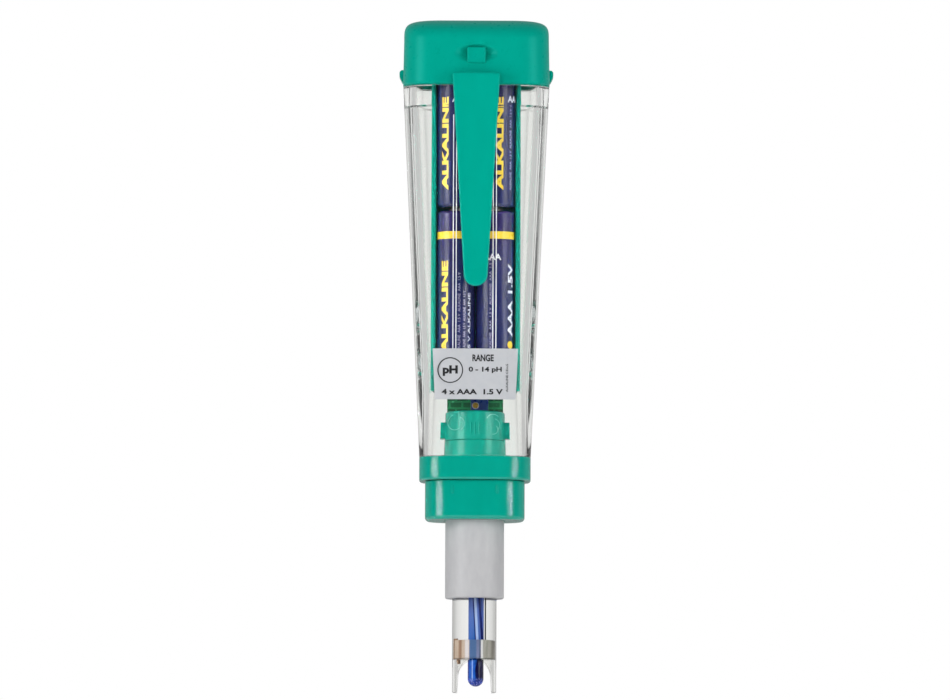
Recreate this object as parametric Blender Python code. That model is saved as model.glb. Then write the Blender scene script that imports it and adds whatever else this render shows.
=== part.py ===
"""Pocket pH tester: clear tapered body, pull-off battery cap with clip, pull-off electrode.

The frame: +Z runs up the tester's length and the electrode points down. The origin lies on
the electrode's axis, in the plane of the end block's underside, where the sleeve leaves it.
-Y is the back, with the pocket clip, the cells and the label. +Y is the front, with the
display and the keys. X is the width. Sizes below are in millimetres.
"""

import math

import bmesh
import bpy
from mathutils import Matrix, Vector

MM = 0.001
GAP = 0.3            # clearance between neighbouring curved or cut surfaces
FACE_GAP = 0.08      # clearance between flat faces that rest on each other

# Round work
CORNER_STEPS = 11    # facets in a quarter turn of a rounded-rectangle corner
ROUND_STEPS = 28     # facets round a large cylinder
SMALL_STEPS = 14     # facets round a pin, a wire or a screw
CELL_STEPS = 20
KEY_STEPS = 20

# Heights along the tester
TIP_Z = -46.7
SLEEVE_BOTTOM_Z = -20.5
BLOCK_TOP_Z = 10.6
COLLAR_Z = (10.7, 17.0)
SHELL_Z = (17.08, 117.95)
NECK_TOP_Z = 123.9
CAP_BOTTOM_Z = 118.05
CAP_DOME_Z = 130.5
CAP_TOP_Z = 136.2

# Rounded-rectangle sections: width, depth, corner radius
SHELL_FOOT = (30.3, 24.5, 8.0)
SHELL_HEAD = (39.7, 29.0, 8.3)
NECK_OUTER = (36.2, 25.6, 6.9)
BORE = (33.2, 23.0, 5.4)
CAVITY_HEAD = (32.2, 22.4, 5.2)
CAVITY_FOOT = (25.8, 20.6, 5.0)
CAVITY_MOUTH = (25.8, 20.0, 5.0)
CAP_FOOT = (39.9, 29.0, 8.5)
CAP_SHOULDER = (39.4, 28.6, 8.4)
CAP_SKIRT_BORE = (36.8, 26.2, 7.2)
CAP_UPPER_BORE = (28.0, 20.8, 4.0)
COLLAR_PLAN = (30.3, 24.5, 8.0)
BLOCK_PLAN = (27.1, 21.5, 7.4)

# Clear body shell
STEP_Z = 112.4       # the bore narrows below this height
CAVITY_KNEE_Z = 34.0
RIB_Z = (44.0, 110.0)
RIB_X = 5.5
RIB_HALF_TOP = 0.35
RIB_HALF_BASE = 0.5
RIB_HEIGHT = 0.3

# Battery cap
DOME_STEPS = 5
DOME_DEPTH_INSET = 9.0
DOME_WIDTH_INSET = 6.5
DOME_WIDTH_POWER = 1.9
DOME_RADIUS_LOSS = 3.9
CAP_EDGE = 1.1
CAP_CEILING_Z = 132.3
CAP_STEP_Z = 124.9
SCOOP_Z = 126.05
SCOOP_AXES = (7.4, 2.6, 2.9)
SCOOP_OUT = 1.6          # the scoop's centre lies this far outside the face
BAR_SIZE = (5.1, 1.7, 4.5)
BAR_PROUD = 0.5
NUB_Z = (119.6, 122.8)
NUB_HALF_DEPTH = 3.5
NUB_PROUD = 1.0

# Pocket clip
CLIP_HINGE = (0.0, -14.75, 119.4)
CLIP_TIP_Z = 63.05
CLIP_TOP_Z = 121.2
CLIP_TAPER = ((66.3, 3.25), (117.0, 6.25))    # height and half width at both ends of the taper
CLIP_TIP_STEPS = 5
CLIP_SHOULDER = ((119.4, 6.45), (120.6, 6.6))
CLIP_ROOT_Y = -16.2
CLIP_PAD_Z = 68.0
CLIP_FLARE = 0.9
CLIP_THICKNESS = (1.5, 1.9)
CLIP_EDGE = 0.45
CLIP_ROOT_SIZE = (10.4, 1.6, 3.0)

# Cells and carrier
CELL_RADIUS = 5.25
CELL_X = 5.35
CELL_Y = -4.55
CELL_Z = (40.55, 85.1)
CELL_LENGTH = 44.45
CARRIER_Z = (35.2, 127.0)
CARRIER_HALF_WIDTH = 12.3
CARRIER_WALL = 1.45
CARRIER_Y = (-6.5, 0.95, 2.0)    # wall tips, floor back, floor front
CARRIER_END_THICKNESS = 1.2
CARRIER_END_HALF = (10.7, -8.7)
SPRING_Z = (37.25, 40.2)
SPRING_RADII = (3.9, 2.2)
SPRING_TURNS = 3.5
SPRING_WIRE = 0.5
PLATE_THICKNESS = 0.3

# Electronics
PCB_Y = (2.3, 3.5)
PCB_Z = (30.1, 34.6, 116.0)
PCB_HALF = (7.6, 12.2)
SCREW_Z = (38.4, 108.0)
LCD_Z = (78.0, 99.0)
LCD_HALF_WIDTH = 10.8
LCD_Y = (5.45, 7.55)
FRAME_MARGIN = 1.2
TRIMMER_CENTRE = (1.2, 0.65, 32.5)
TRIMMER_SIZE = (4.8, 3.1, 4.4)
TRIMMER_SCREW = (0.1, 31.6)
KEY_PLACES = {"power": (0.0, 46.0), "cal": (-4.7, 58.5), "hold": (4.7, 58.5)}
KEY_RADIUS = 3.8
KEY_HOLE_RADIUS = 4.1
KEY_FLANGE_RADIUS = 4.45
KEY_PROUD = 1.1
PANEL_Z = (38.5, 112.0)
PANEL_MARGIN = 0.7
PANEL_CORNER = 3.0
PANEL_THICKNESS = 0.35
WINDOW_HALF_WIDTH = 8.6
WINDOW_Z = (81.0, 96.0)

# Rear label
LABEL_Z = (32.4, 46.2)
LABEL_THICKNESS = 0.15
LABEL_CORNER_STEPS = 3

# Connector and electrode
NECK_RADIUS = 7.95
SOCKET_Z = (21.98, 29.8)
BORE_RADIUS = 6.7
SPIGOT_RADIUS = 6.4
SPIGOT_TOP_Z = 21.0
PIN_X = (-3.0, 0.0, 3.0)
PIN_TOP_Z = 26.5
SLEEVE_RADII = (6.25, 8.0)
SLEEVE_TOP_Z = 7.6
TUBE_RADII = (5.0, 6.0)
TUBE_TOP_Z = 7.0
ARCH_TOP_Z = -37.6
ARCH_HALF_WIDTH = 4.35
PLUG_Z = (-37.5, -32.5)
PLUG_RADIUS = 4.75
STEM_X = 0.4
STEM_RADII = (1.6, 2.1)
STEM_Z = (-40.3, 6.0)
BULB_Z = (-45.05, -40.38)
BULB_RADII = (1.8, 2.15)
JUNCTION_X = -3.95
JUNCTION_Z = (-38.9, -32.0)
JUNCTION_RADIUS = 0.6
REFERENCE_WIRE_X = 3.1
INNER_WIRE_RADIUS = 0.15
INNER_WIRE_ORBIT = 1.18
INNER_WIRE_PITCH = 45.0
INNER_WIRE_Z = (-39.1, 2.0)
GEL_RADIUS = 0.8

# Colours as they look, 0 to 255
TEAL = (0, 163, 143)
CLEAR = (226, 230, 224)
NAVY = (33, 36, 92)
SILVER = (190, 190, 186)
BRASS = (196, 160, 84)
BOARD_GREEN = (12, 102, 62)
GREY = (178, 178, 180)


# ---------------------------------------------------------------- building blocks

def clear_scene():
    for item in list(bpy.data.objects):
        bpy.data.objects.remove(item, do_unlink=True)


def linear(channel):
    """Linear value of a 0 to 255 display value."""
    value = channel / 255
    if value <= 0.04045:
        return value / 12.92
    return ((value + 0.055) / 1.055) ** 2.4


def material(name, colour, roughness=0.4, metallic=0.0, transmission=0.0):
    made = bpy.data.materials.new(name)
    made.use_nodes = True
    shader = made.node_tree.nodes["Principled BSDF"]
    red, green, blue = (linear(channel) for channel in colour)
    shader.inputs["Base Color"].default_value = (red, green, blue, 1.0)
    shader.inputs["Roughness"].default_value = roughness
    shader.inputs["Metallic"].default_value = metallic
    shader.inputs["Transmission Weight"].default_value = transmission
    return made


def joint_empty(name, place):
    """An empty at a joint's place, the parent of every piece that the joint moves."""
    empty = bpy.data.objects.new(name, None)
    bpy.context.scene.collection.objects.link(empty)
    empty.location = Vector(place) * MM
    return empty


def put(name, mesh_data, look=None, parent=None):
    """Link an object, scaled geometry already in metres, under its joint's empty."""
    item = bpy.data.objects.new(name, mesh_data)
    bpy.context.scene.collection.objects.link(item)
    if look is not None:
        mesh_data.materials.append(look)
    if parent is not None:
        item.parent = parent
        item.matrix_parent_inverse = Matrix.Translation(-parent.location)
    return item


def finish_mesh(name, mesh, look=None, parent=None, sharp_degrees=35.0):
    """Turn a bmesh in millimetres into an object in metres with its faces outward."""
    bmesh.ops.remove_doubles(mesh, verts=mesh.verts, dist=1e-4)
    bmesh.ops.recalc_face_normals(mesh, faces=mesh.faces)
    bmesh.ops.scale(mesh, verts=mesh.verts, vec=(MM, MM, MM))
    data = bpy.data.meshes.new(name)
    mesh.to_mesh(data)
    mesh.free()
    data.shade_smooth()
    data.set_sharp_from_angle(angle=math.radians(sharp_degrees))
    return put(name, data, look, parent)


def loft(rings, closed=False):
    """Skin rings that have the same number of points; closed joins the last to the first."""
    mesh = bmesh.new()
    rows = [[mesh.verts.new(point) for point in ring] for ring in rings]
    count = len(rows[0])
    pairs = list(zip(rows, rows[1:]))
    if closed:
        pairs.append((rows[-1], rows[0]))
    for low, high in pairs:
        for index in range(count):
            following = (index + 1) % count
            mesh.faces.new((low[index], low[following], high[following], high[index]))
    if not closed:
        mesh.faces.new(list(reversed(rows[0])))
        mesh.faces.new(rows[-1])
    return mesh


def outline(section, z, steps=CORNER_STEPS):
    """Rounded rectangle at height z, anticlockwise seen from above."""
    width, depth, radius = section
    points = []
    corners = ((1, 1), (-1, 1), (-1, -1), (1, -1))
    for turn, (side_x, side_y) in enumerate(corners):
        centre_x = side_x * (width / 2 - radius)
        centre_y = side_y * (depth / 2 - radius)
        for step in range(steps + 1):
            angle = math.radians(90 * (turn + step / steps))
            x = centre_x + radius * math.cos(angle)
            y = centre_y + radius * math.sin(angle)
            points.append((x, y, z))
    return points


def ribbed_outline(section, z, rib=0.0):
    """Rounded rectangle whose back side carries the two guide ribs, rib high."""
    points = outline(section, z)
    after_left_corner = 3 * (CORNER_STEPS + 1)
    back_y = -section[1] / 2
    extra = []
    for centre in (-RIB_X, RIB_X):
        extra.append((centre - RIB_HALF_BASE, back_y, z))
        extra.append((centre - RIB_HALF_TOP, back_y + rib, z))
        extra.append((centre + RIB_HALF_TOP, back_y + rib, z))
        extra.append((centre + RIB_HALF_BASE, back_y, z))
    return points[:after_left_corner] + extra + points[after_left_corner:]


def mix(first, second, share):
    return tuple(a + (b - a) * share for a, b in zip(first, second))


def grown(section, offset):
    """The same section with every side moved out by offset."""
    width, depth, radius = section
    return width + 2 * offset, depth + 2 * offset, radius + offset


def circle(radius, z, steps=ROUND_STEPS, centre=(0.0, 0.0)):
    points = []
    for step in range(steps):
        angle = math.tau * step / steps
        points.append((centre[0] + radius * math.cos(angle), centre[1] + radius * math.sin(angle), z))
    return points


def turned(profile, steps=ROUND_STEPS, centre=(0.0, 0.0), closed=False):
    """Turn radius and height pairs round a vertical axis; closed makes a ring or a tube."""
    return loft([circle(max(radius, 1e-6), z, steps, centre) for radius, z in profile], closed)


def tube_profile(inner, outer, bottom, top):
    return ((inner, bottom), (outer, bottom), (outer, top), (inner, top))


def along_y(mesh, x, z):
    """Lay a vertical turned mesh along +Y, with its axis through x, z."""
    bmesh.ops.rotate(mesh, verts=mesh.verts, cent=(0, 0, 0), matrix=Matrix.Rotation(-math.pi / 2, 3, "X"))
    bmesh.ops.translate(mesh, verts=mesh.verts, vec=(x, 0, z))
    return mesh


def block(low, high, bevel=0.0):
    """A box between two corners, with all its edges eased by bevel."""
    mesh = bmesh.new()
    size = [b - a for a, b in zip(low, high)]
    middle = [(a + b) / 2 for a, b in zip(low, high)]
    bmesh.ops.create_cube(mesh, size=1.0)
    bmesh.ops.scale(mesh, verts=mesh.verts, vec=size)
    bmesh.ops.translate(mesh, verts=mesh.verts, vec=middle)
    if bevel:
        bmesh.ops.bevel(mesh, geom=mesh.edges[:], offset=bevel, segments=1, affect="EDGES", profile=0.5)
    return mesh


def tool(name, mesh, parent=None):
    """A hidden cutter or filler for a Boolean."""
    item = finish_mesh(name, mesh, parent=parent)
    item.hide_render = True
    item.display_type = "WIRE"
    return item


def boolean(target, operand, operation="DIFFERENCE"):
    step = target.modifiers.new(operand.name, "BOOLEAN")
    step.operation = operation
    step.solver = "EXACT"
    step.object = operand


def wire(name, points, radius, look, parent=None, resolution=2):
    """A round wire along millimetre points."""
    data = bpy.data.curves.new(name, "CURVE")
    data.dimensions = "3D"
    data.bevel_depth = radius * MM
    data.bevel_resolution = resolution
    data.use_fill_caps = True
    spline = data.splines.new("POLY")
    spline.points.add(len(points) - 1)
    for target, point in zip(spline.points, points):
        target.co = (point[0] * MM, point[1] * MM, point[2] * MM, 1.0)
    return put(name, data, look, parent)


# ---------------------------------------------------------------- shapes that others follow

def shell_section(z):
    """Outer section of the clear body at height z."""
    share = (z - SHELL_Z[0]) / (SHELL_Z[1] - SHELL_Z[0])
    return mix(SHELL_FOOT, SHELL_HEAD, share)


def shell_face_y(z):
    """Distance of the body's flat front or back face from the axis at height z."""
    return shell_section(z)[1] / 2


def cavity_face_y(z):
    share = (z - CAVITY_KNEE_Z) / (STEP_Z - CAVITY_KNEE_Z)
    return mix(CAVITY_FOOT, CAVITY_HEAD, share)[1] / 2


# ---------------------------------------------------------------- body

def body_shell(look):
    knee_share = (RIB_Z[0] - CAVITY_KNEE_Z) / (STEP_Z - CAVITY_KNEE_Z)
    top_share = (RIB_Z[1] - CAVITY_KNEE_Z) / (STEP_Z - CAVITY_KNEE_Z)
    rib_run_out = 1.5
    run_out_share = rib_run_out / (STEP_Z - CAVITY_KNEE_Z)
    rings = [
        ribbed_outline(SHELL_FOOT, SHELL_Z[0]),
        ribbed_outline(SHELL_HEAD, SHELL_Z[1]),
        ribbed_outline(NECK_OUTER, SHELL_Z[1]),
        ribbed_outline(NECK_OUTER, NECK_TOP_Z),
        ribbed_outline(BORE, NECK_TOP_Z),
        ribbed_outline(BORE, STEP_Z),
        ribbed_outline(CAVITY_HEAD, STEP_Z),
    ]
    for share, z, rib in (
        (top_share + run_out_share, RIB_Z[1] + rib_run_out, 0.0),
        (top_share, RIB_Z[1], RIB_HEIGHT),
        (knee_share, RIB_Z[0], RIB_HEIGHT),
        (knee_share - run_out_share, RIB_Z[0] - rib_run_out, 0.0),
    ):
        rings.append(ribbed_outline(mix(CAVITY_FOOT, CAVITY_HEAD, share), z, rib))
    rings.append(ribbed_outline(CAVITY_FOOT, CAVITY_KNEE_Z))
    rings.append(ribbed_outline(CAVITY_MOUTH, SHELL_Z[0]))
    shell = finish_mesh("body_shell", loft(rings, closed=True), look)
    for key, (x, z) in KEY_PLACES.items():
        reach = ((0.0, 8.0), (KEY_HOLE_RADIUS, 8.0), (KEY_HOLE_RADIUS, 16.0), (0.0, 16.0))
        hole = tool("shell_hole_" + key, along_y(turned(reach, KEY_STEPS), x, z))
        boolean(shell, hole)


def bottom_collar(look):
    edge = 0.5
    low, high = COLLAR_Z
    rings = [
        outline(grown(COLLAR_PLAN, -edge), low),
        outline(COLLAR_PLAN, low + edge),
        outline(COLLAR_PLAN, high),
    ]
    collar = finish_mesh("bottom_collar", loft(rings), look)
    boss = turned(((0.0, high - 1), (NECK_RADIUS, high - 1), (NECK_RADIUS, SOCKET_Z[0] - FACE_GAP),
                   (0.0, SOCKET_Z[0] - FACE_GAP)))
    boolean(collar, tool("collar_boss", boss), "UNION")
    passage = turned(((0.0, low - 1), (BORE_RADIUS, low - 1), (BORE_RADIUS, SOCKET_Z[0] + 1),
                      (0.0, SOCKET_Z[0] + 1)))
    boolean(collar, tool("collar_bore", passage))


def connector_socket(look):
    low, high = SOCKET_Z
    roof_z = 27.4
    ease = 0.5
    profile = (
        (BORE_RADIUS, low), (NECK_RADIUS, low), (NECK_RADIUS, high - ease),
        (NECK_RADIUS - ease, high), (0.0, high),
    )
    inner = ((0.0, roof_z), (BORE_RADIUS, roof_z))
    socket = finish_mesh("connector_socket", turned(inner + profile), look)
    for side in (-1, 1):
        corners = sorted((side * (NECK_RADIUS - 0.7), side * (NECK_RADIUS + 1.4)))
        tab = tool("socket_tab_%s" % ("left" if side < 0 else "right"),
                   block((corners[0], -1.8, 22.6), (corners[1], 1.8, 27.0), 0.2))
        boolean(socket, tab, "UNION")


# ---------------------------------------------------------------- cells and carrier

def battery_carrier(look):
    tips, floor_back, floor_front = CARRIER_Y
    outer = CARRIER_HALF_WIDTH
    inner = outer - CARRIER_WALL
    plan = (
        (-outer, tips), (-inner, tips), (-inner, floor_back), (inner, floor_back),
        (inner, tips), (outer, tips), (outer, floor_front), (-outer, floor_front),
    )
    channel = loft([[(x, y, z) for x, y in plan] for z in CARRIER_Z])
    carrier = finish_mesh("battery_carrier", channel, look)
    end_half, end_back = CARRIER_END_HALF
    end = block((-end_half, end_back, CARRIER_Z[0]),
                (end_half, floor_back + 0.5, CARRIER_Z[0] + CARRIER_END_THICKNESS))
    boolean(carrier, tool("carrier_end", end), "UNION")
    for side in (-1, 1):
        corners = sorted((side * (end_half - 0.5), side * (outer - 0.5)))
        web = block((corners[0], tips + 0.6, CARRIER_Z[0]),
                    (corners[1], floor_back + 0.5, CARRIER_Z[0] + CARRIER_END_THICKNESS))
        boolean(carrier, tool("carrier_web_%s" % ("left" if side < 0 else "right"), web), "UNION")
    for index, z in enumerate(SCREW_Z):
        reach = ((0.0, 0.0), (1.2, 0.0), (1.2, 3.0), (0.0, 3.0))
        boolean(carrier, tool("carrier_screw_hole_%d" % index, along_y(turned(reach, SMALL_STEPS), 0.0, z)))


def cell_profile():
    can = CELL_LENGTH - 1.0
    return (
        (0.0, 0.25), (3.1, 0.25), (3.4, 0.0), (4.3, 0.0), (5.0, 0.35), (CELL_RADIUS, 0.9),
        (CELL_RADIUS, can - 0.6), (4.95, can - 0.15), (4.3, can), (2.3, can),
        (1.9, can + 0.15), (1.9, CELL_LENGTH - 0.2), (1.6, CELL_LENGTH), (0.0, CELL_LENGTH),
    )


def cells(look):
    for level, base in zip(("lower", "upper"), CELL_Z):
        for side, x in (("left", -CELL_X), ("right", CELL_X)):
            mesh = turned(cell_profile(), CELL_STEPS, (x, CELL_Y))
            bmesh.ops.translate(mesh, verts=mesh.verts, vec=(0, 0, base))
            finish_mesh("cell_%s_%s" % (level, side), mesh, look)


def negative_contacts(look):
    plate_top = SPRING_Z[0] - SPRING_WIRE / 2 - FACE_GAP
    plate = block((-9.6, CELL_Y - 3.7, plate_top - PLATE_THICKNESS), (9.6, CELL_Y + 4.8, plate_top))
    finish_mesh("negative_plate", plate, look)
    steps_per_turn = 10
    count = int(SPRING_TURNS * steps_per_turn)
    for side, x in (("left", -CELL_X), ("right", CELL_X)):
        points = []
        for step in range(count + 1):
            share = step / count
            angle = math.tau * step / steps_per_turn
            radius = SPRING_RADII[0] + (SPRING_RADII[1] - SPRING_RADII[0]) * share
            z = SPRING_Z[0] + (SPRING_Z[1] - SPRING_WIRE / 2 - SPRING_Z[0]) * share
            points.append((x + radius * math.cos(angle), CELL_Y + radius * math.sin(angle), z))
        wire("negative_spring_" + side, points, SPRING_WIRE / 2, look, resolution=0)


# ---------------------------------------------------------------- electronics

def main_pcb(look):
    back, front = PCB_Y
    foot, knee, top = PCB_Z
    narrow, wide = PCB_HALF
    shape = (
        (-narrow, foot), (narrow, foot), (narrow, knee), (wide, knee + 1.5), (wide, top),
        (-wide, top), (-wide, knee + 1.5), (-narrow, knee),
    )
    board = finish_mesh("main_pcb", loft([[(x, y, z) for x, z in shape] for y in (back, front)]), look)
    for index, z in enumerate(SCREW_Z):
        reach = ((0.0, 1.5), (1.2, 1.5), (1.2, 4.5), (0.0, 4.5))
        boolean(board, tool("pcb_screw_hole_%d" % index, along_y(turned(reach, SMALL_STEPS), 0.0, z)))


def pcb_screws(look):
    head_y = PCB_Y[1] + FACE_GAP
    for name, z in zip(("lower", "upper"), SCREW_Z):
        profile = ((0.0, 0.3), (0.6, 0.3), (0.9, 0.7), (0.9, head_y), (1.8, head_y),
                   (1.8, head_y + 0.6), (1.3, head_y + 1.1), (0.0, head_y + 1.1))
        screw = finish_mesh("pcb_screw_" + name, along_y(turned(profile, SMALL_STEPS), 0.0, z), look)
        slot_y = head_y + 0.7
        slot = block((-1.5, slot_y, z - 0.2), (1.5, slot_y + 1.0, z + 0.2))
        boolean(screw, tool("pcb_screw_slot_" + name, slot))


def display(glass_look, frame_look, zebra_look):
    low, high = LCD_Z
    finish_mesh("lcd_glass", block((-LCD_HALF_WIDTH, LCD_Y[0], low), (LCD_HALF_WIDTH, LCD_Y[1], high), 0.15),
                glass_look)
    for name, z in (("lower", low + 1.4), ("upper", high - 1.4)):
        strip = block((-LCD_HALF_WIDTH + 0.6, PCB_Y[1] + FACE_GAP, z - 1.0),
                      (LCD_HALF_WIDTH - 0.6, LCD_Y[0] - FACE_GAP, z + 1.0))
        finish_mesh("zebra_strip_" + name, strip, zebra_look)
    outer = (LCD_HALF_WIDTH + FRAME_MARGIN, high + FRAME_MARGIN)
    front = LCD_Y[1] + 0.7
    frame = block((-outer[0], PCB_Y[1] + FACE_GAP, low - FRAME_MARGIN), (outer[0], front, outer[1]), 0.3)
    frame = finish_mesh("lcd_frame", frame, frame_look)
    pocket = block((-LCD_HALF_WIDTH - 0.2, PCB_Y[1] - 1, low - 0.2),
                   (LCD_HALF_WIDTH + 0.2, LCD_Y[1] + 0.15, high + 0.2))
    view = block((-LCD_HALF_WIDTH + 1.3, LCD_Y[1] - 1, low + 2.0),
                 (LCD_HALF_WIDTH - 1.3, front + 1, high - 2.0))
    boolean(frame, tool("frame_pocket", pocket))
    boolean(frame, tool("frame_view", view))


def chips(look):
    base = PCB_Y[1] + FACE_GAP
    finish_mesh("mcu_chip", block((-8.0, base, 65.5), (-1.0, base + 1.4, 72.5), 0.12), look)
    finish_mesh("amplifier_chip", block((3.0, base, 66.5), (7.0, base + 1.5, 71.5), 0.12), look)


def tact_switches(look):
    base = PCB_Y[1] + FACE_GAP
    for key, (x, z) in KEY_PLACES.items():
        switch = finish_mesh("switch_" + key, block((x - 3, base, z - 3), (x + 3, 6.2, z + 3), 0.2), look)
        plunger = ((0.0, 5.8), (1.6, 5.8), (1.6, 6.55), (0.0, 6.55))
        boolean(switch, tool("switch_plunger_" + key, along_y(turned(plunger, SMALL_STEPS), x, z)), "UNION")


def trimmer(body_look, screw_look, axis_empty):
    low = [c - s / 2 for c, s in zip(TRIMMER_CENTRE, TRIMMER_SIZE)]
    high = [c + s / 2 for c, s in zip(TRIMMER_CENTRE, TRIMMER_SIZE)]
    finish_mesh("trimmer_body", block(low, high, 0.2), body_look)
    x, z = TRIMMER_SCREW
    face = low[1] - FACE_GAP
    profile = ((0.0, face - 0.7), (0.65, face - 0.7), (0.8, face - 0.5), (0.8, face), (0.0, face))
    screw = finish_mesh("trimmer_screw", along_y(turned(profile, SMALL_STEPS), x, z), screw_look, axis_empty)
    slot = block((x - 0.14, face - 1.5, z - 1.2), (x + 0.14, face - 0.4, z + 1.2))
    boolean(screw, tool("trimmer_screw_slot", slot, axis_empty))


def contact_blade(look):
    base = PCB_Y[1] + FACE_GAP
    finish_mesh("positive_blade", block((6.6, base, 105.0), (9.6, base + 0.5, 129.5)), look)


# ---------------------------------------------------------------- front and back faces

def front_panel(look):
    """Flat tapered overlay on the body's front face, with a window and three key holes."""
    corner_steps = 5

    def half_width(z):
        width, _, radius = shell_section(z)
        return width / 2 - radius - PANEL_MARGIN

    places = (
        (1, PANEL_Z[0], 270), (1, PANEL_Z[1], 0), (-1, PANEL_Z[1], 90), (-1, PANEL_Z[0], 180),
    )
    shape = []
    for side, z, start in places:
        centre_x = side * (half_width(z) - PANEL_CORNER)
        centre_z = z + (PANEL_CORNER if z == PANEL_Z[0] else -PANEL_CORNER)
        for step in range(corner_steps + 1):
            angle = math.radians(start + 90 * step / corner_steps)
            shape.append((centre_x + PANEL_CORNER * math.cos(angle), centre_z + PANEL_CORNER * math.sin(angle)))
    rings = []
    for lift in (FACE_GAP, FACE_GAP + PANEL_THICKNESS):
        rings.append([(x, shell_face_y(z) + lift, z) for x, z in shape])
    panel = finish_mesh("front_panel", loft(rings), look)
    window = block((-WINDOW_HALF_WIDTH, 10.0, WINDOW_Z[0]), (WINDOW_HALF_WIDTH, 18.0, WINDOW_Z[1]))
    boolean(panel, tool("panel_window", window))
    for key, (x, z) in KEY_PLACES.items():
        reach = ((0.0, 10.0), (KEY_HOLE_RADIUS, 10.0), (KEY_HOLE_RADIUS, 18.0), (0.0, 18.0))
        boolean(panel, tool("panel_hole_" + key, along_y(turned(reach, KEY_STEPS), x, z)))


def keys(look, empties):
    travel_room = 0.3
    for key, (x, z) in KEY_PLACES.items():
        flange_top = cavity_face_y(z - KEY_FLANGE_RADIUS) - travel_room
        face = shell_face_y(z) + FACE_GAP + PANEL_THICKNESS + KEY_PROUD
        profile = (
            (0.0, 7.25), (1.5, 7.25), (1.5, flange_top - 0.8), (KEY_FLANGE_RADIUS, flange_top - 0.8),
            (KEY_FLANGE_RADIUS, flange_top), (KEY_RADIUS, flange_top), (KEY_RADIUS, face - 0.6),
            (KEY_RADIUS - 0.25, face - 0.2), (KEY_RADIUS - 0.9, face), (0.0, face - 0.15),
        )
        finish_mesh("key_" + key, along_y(turned(profile, KEY_STEPS), x, z), look, empties[key])


def rear_label(look):
    """Thin label that follows the back face and turns a little round both corners."""
    rings = []
    for z in LABEL_Z:
        outer_arc = outline(grown(shell_section(z), FACE_GAP + LABEL_THICKNESS), z)
        inner_arc = outline(grown(shell_section(z), FACE_GAP), z)
        corner = CORNER_STEPS + 1
        first = 3 * corner - 1 - LABEL_CORNER_STEPS
        last = 3 * corner + LABEL_CORNER_STEPS
        rings.append(outer_arc[first:last + 1] + list(reversed(inner_arc[first:last + 1])))
    finish_mesh("rear_label", loft(rings), look)


# ---------------------------------------------------------------- battery cap and clip

def cap_dome_rings():
    rings = []
    for step in range(DOME_STEPS + 1):
        angle = math.radians(90 * step / DOME_STEPS)
        fall = 1 - math.cos(angle)
        width = CAP_SHOULDER[0] - 2 * DOME_WIDTH_INSET * fall ** DOME_WIDTH_POWER
        depth = CAP_SHOULDER[1] - 2 * DOME_DEPTH_INSET * fall
        radius = CAP_SHOULDER[2] - DOME_RADIUS_LOSS * fall
        z = CAP_DOME_Z + (CAP_TOP_Z - CAP_DOME_Z) * math.sin(angle)
        rings.append(outline((width, depth, radius), z))
    return rings


def battery_cap(look, axis_empty):
    rings = [
        outline(grown(CAP_FOOT, -CAP_EDGE / 2), CAP_BOTTOM_Z),
        outline(CAP_FOOT, CAP_BOTTOM_Z + CAP_EDGE),
    ]
    rings.extend(cap_dome_rings())
    cap = finish_mesh("battery_cap", loft(rings), look, axis_empty)

    rings = [
        outline(CAP_SKIRT_BORE, CAP_BOTTOM_Z - 1),
        outline(CAP_SKIRT_BORE, CAP_STEP_Z),
        outline(CAP_UPPER_BORE, CAP_STEP_Z),
        outline(CAP_UPPER_BORE, CAP_CEILING_Z),
    ]
    boolean(cap, tool("cap_cavity", loft(rings), axis_empty))

    scoop = bmesh.new()
    bmesh.ops.create_uvsphere(scoop, u_segments=20, v_segments=10, radius=1.0)
    bmesh.ops.scale(scoop, verts=scoop.verts, vec=SCOOP_AXES)
    back_y = -(CAP_FOOT[1] + CAP_SHOULDER[1]) / 4
    bmesh.ops.translate(scoop, verts=scoop.verts, vec=(0, back_y - SCOOP_OUT, SCOOP_Z))
    boolean(cap, tool("cap_scoop", scoop, axis_empty))

    width, depth, height = BAR_SIZE
    bar = block((-width / 2, back_y - BAR_PROUD, SCOOP_Z - height / 2),
                (width / 2, back_y - BAR_PROUD + depth, SCOOP_Z + height / 2), 0.35)
    boolean(cap, tool("cap_lanyard_bar", bar, axis_empty), "UNION")

    low, high = NUB_Z
    for name, side in (("left", -1), ("right", 1)):
        face = side * CAP_FOOT[0] / 2
        wedge = (
            (face - side * 0.8, low), (face + side * 0.2, low), (face + side * NUB_PROUD, low + 1.6),
            (face + side * NUB_PROUD, high - 0.5), (face + side * 0.5, high), (face - side * 0.8, high),
        )
        rings = [[(x, y, z) for x, z in wedge] for y in (-NUB_HALF_DEPTH, NUB_HALF_DEPTH)]
        boolean(cap, tool("cap_nub_" + name, loft(rings), axis_empty), "UNION")


def cap_gasket(look):
    low = NECK_TOP_Z + FACE_GAP
    high = CAP_STEP_Z - FACE_GAP
    outer = grown(NECK_OUTER, -0.3)
    inner = grown(BORE, 0.25)
    rings = [outline(inner, low), outline(outer, low), outline(outer, high), outline(inner, high)]
    finish_mesh("cap_gasket", loft(rings, closed=True), look)


def cap_contacts(plate_look, holder_look, axis_empty):
    low = CELL_Z[1] + CELL_LENGTH + GAP
    plate = block((-10.2, CELL_Y - 4.2, low), (10.2, 4.6, low + PLATE_THICKNESS))
    finish_mesh("positive_plate", plate, plate_look, axis_empty)
    base = low + PLATE_THICKNESS + FACE_GAP
    holder = block((-11.0, CELL_Y - 4.7, base), (11.0, 5.2, CAP_CEILING_Z - FACE_GAP), 0.3)
    finish_mesh("cap_contact_holder", holder, holder_look, axis_empty)


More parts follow.
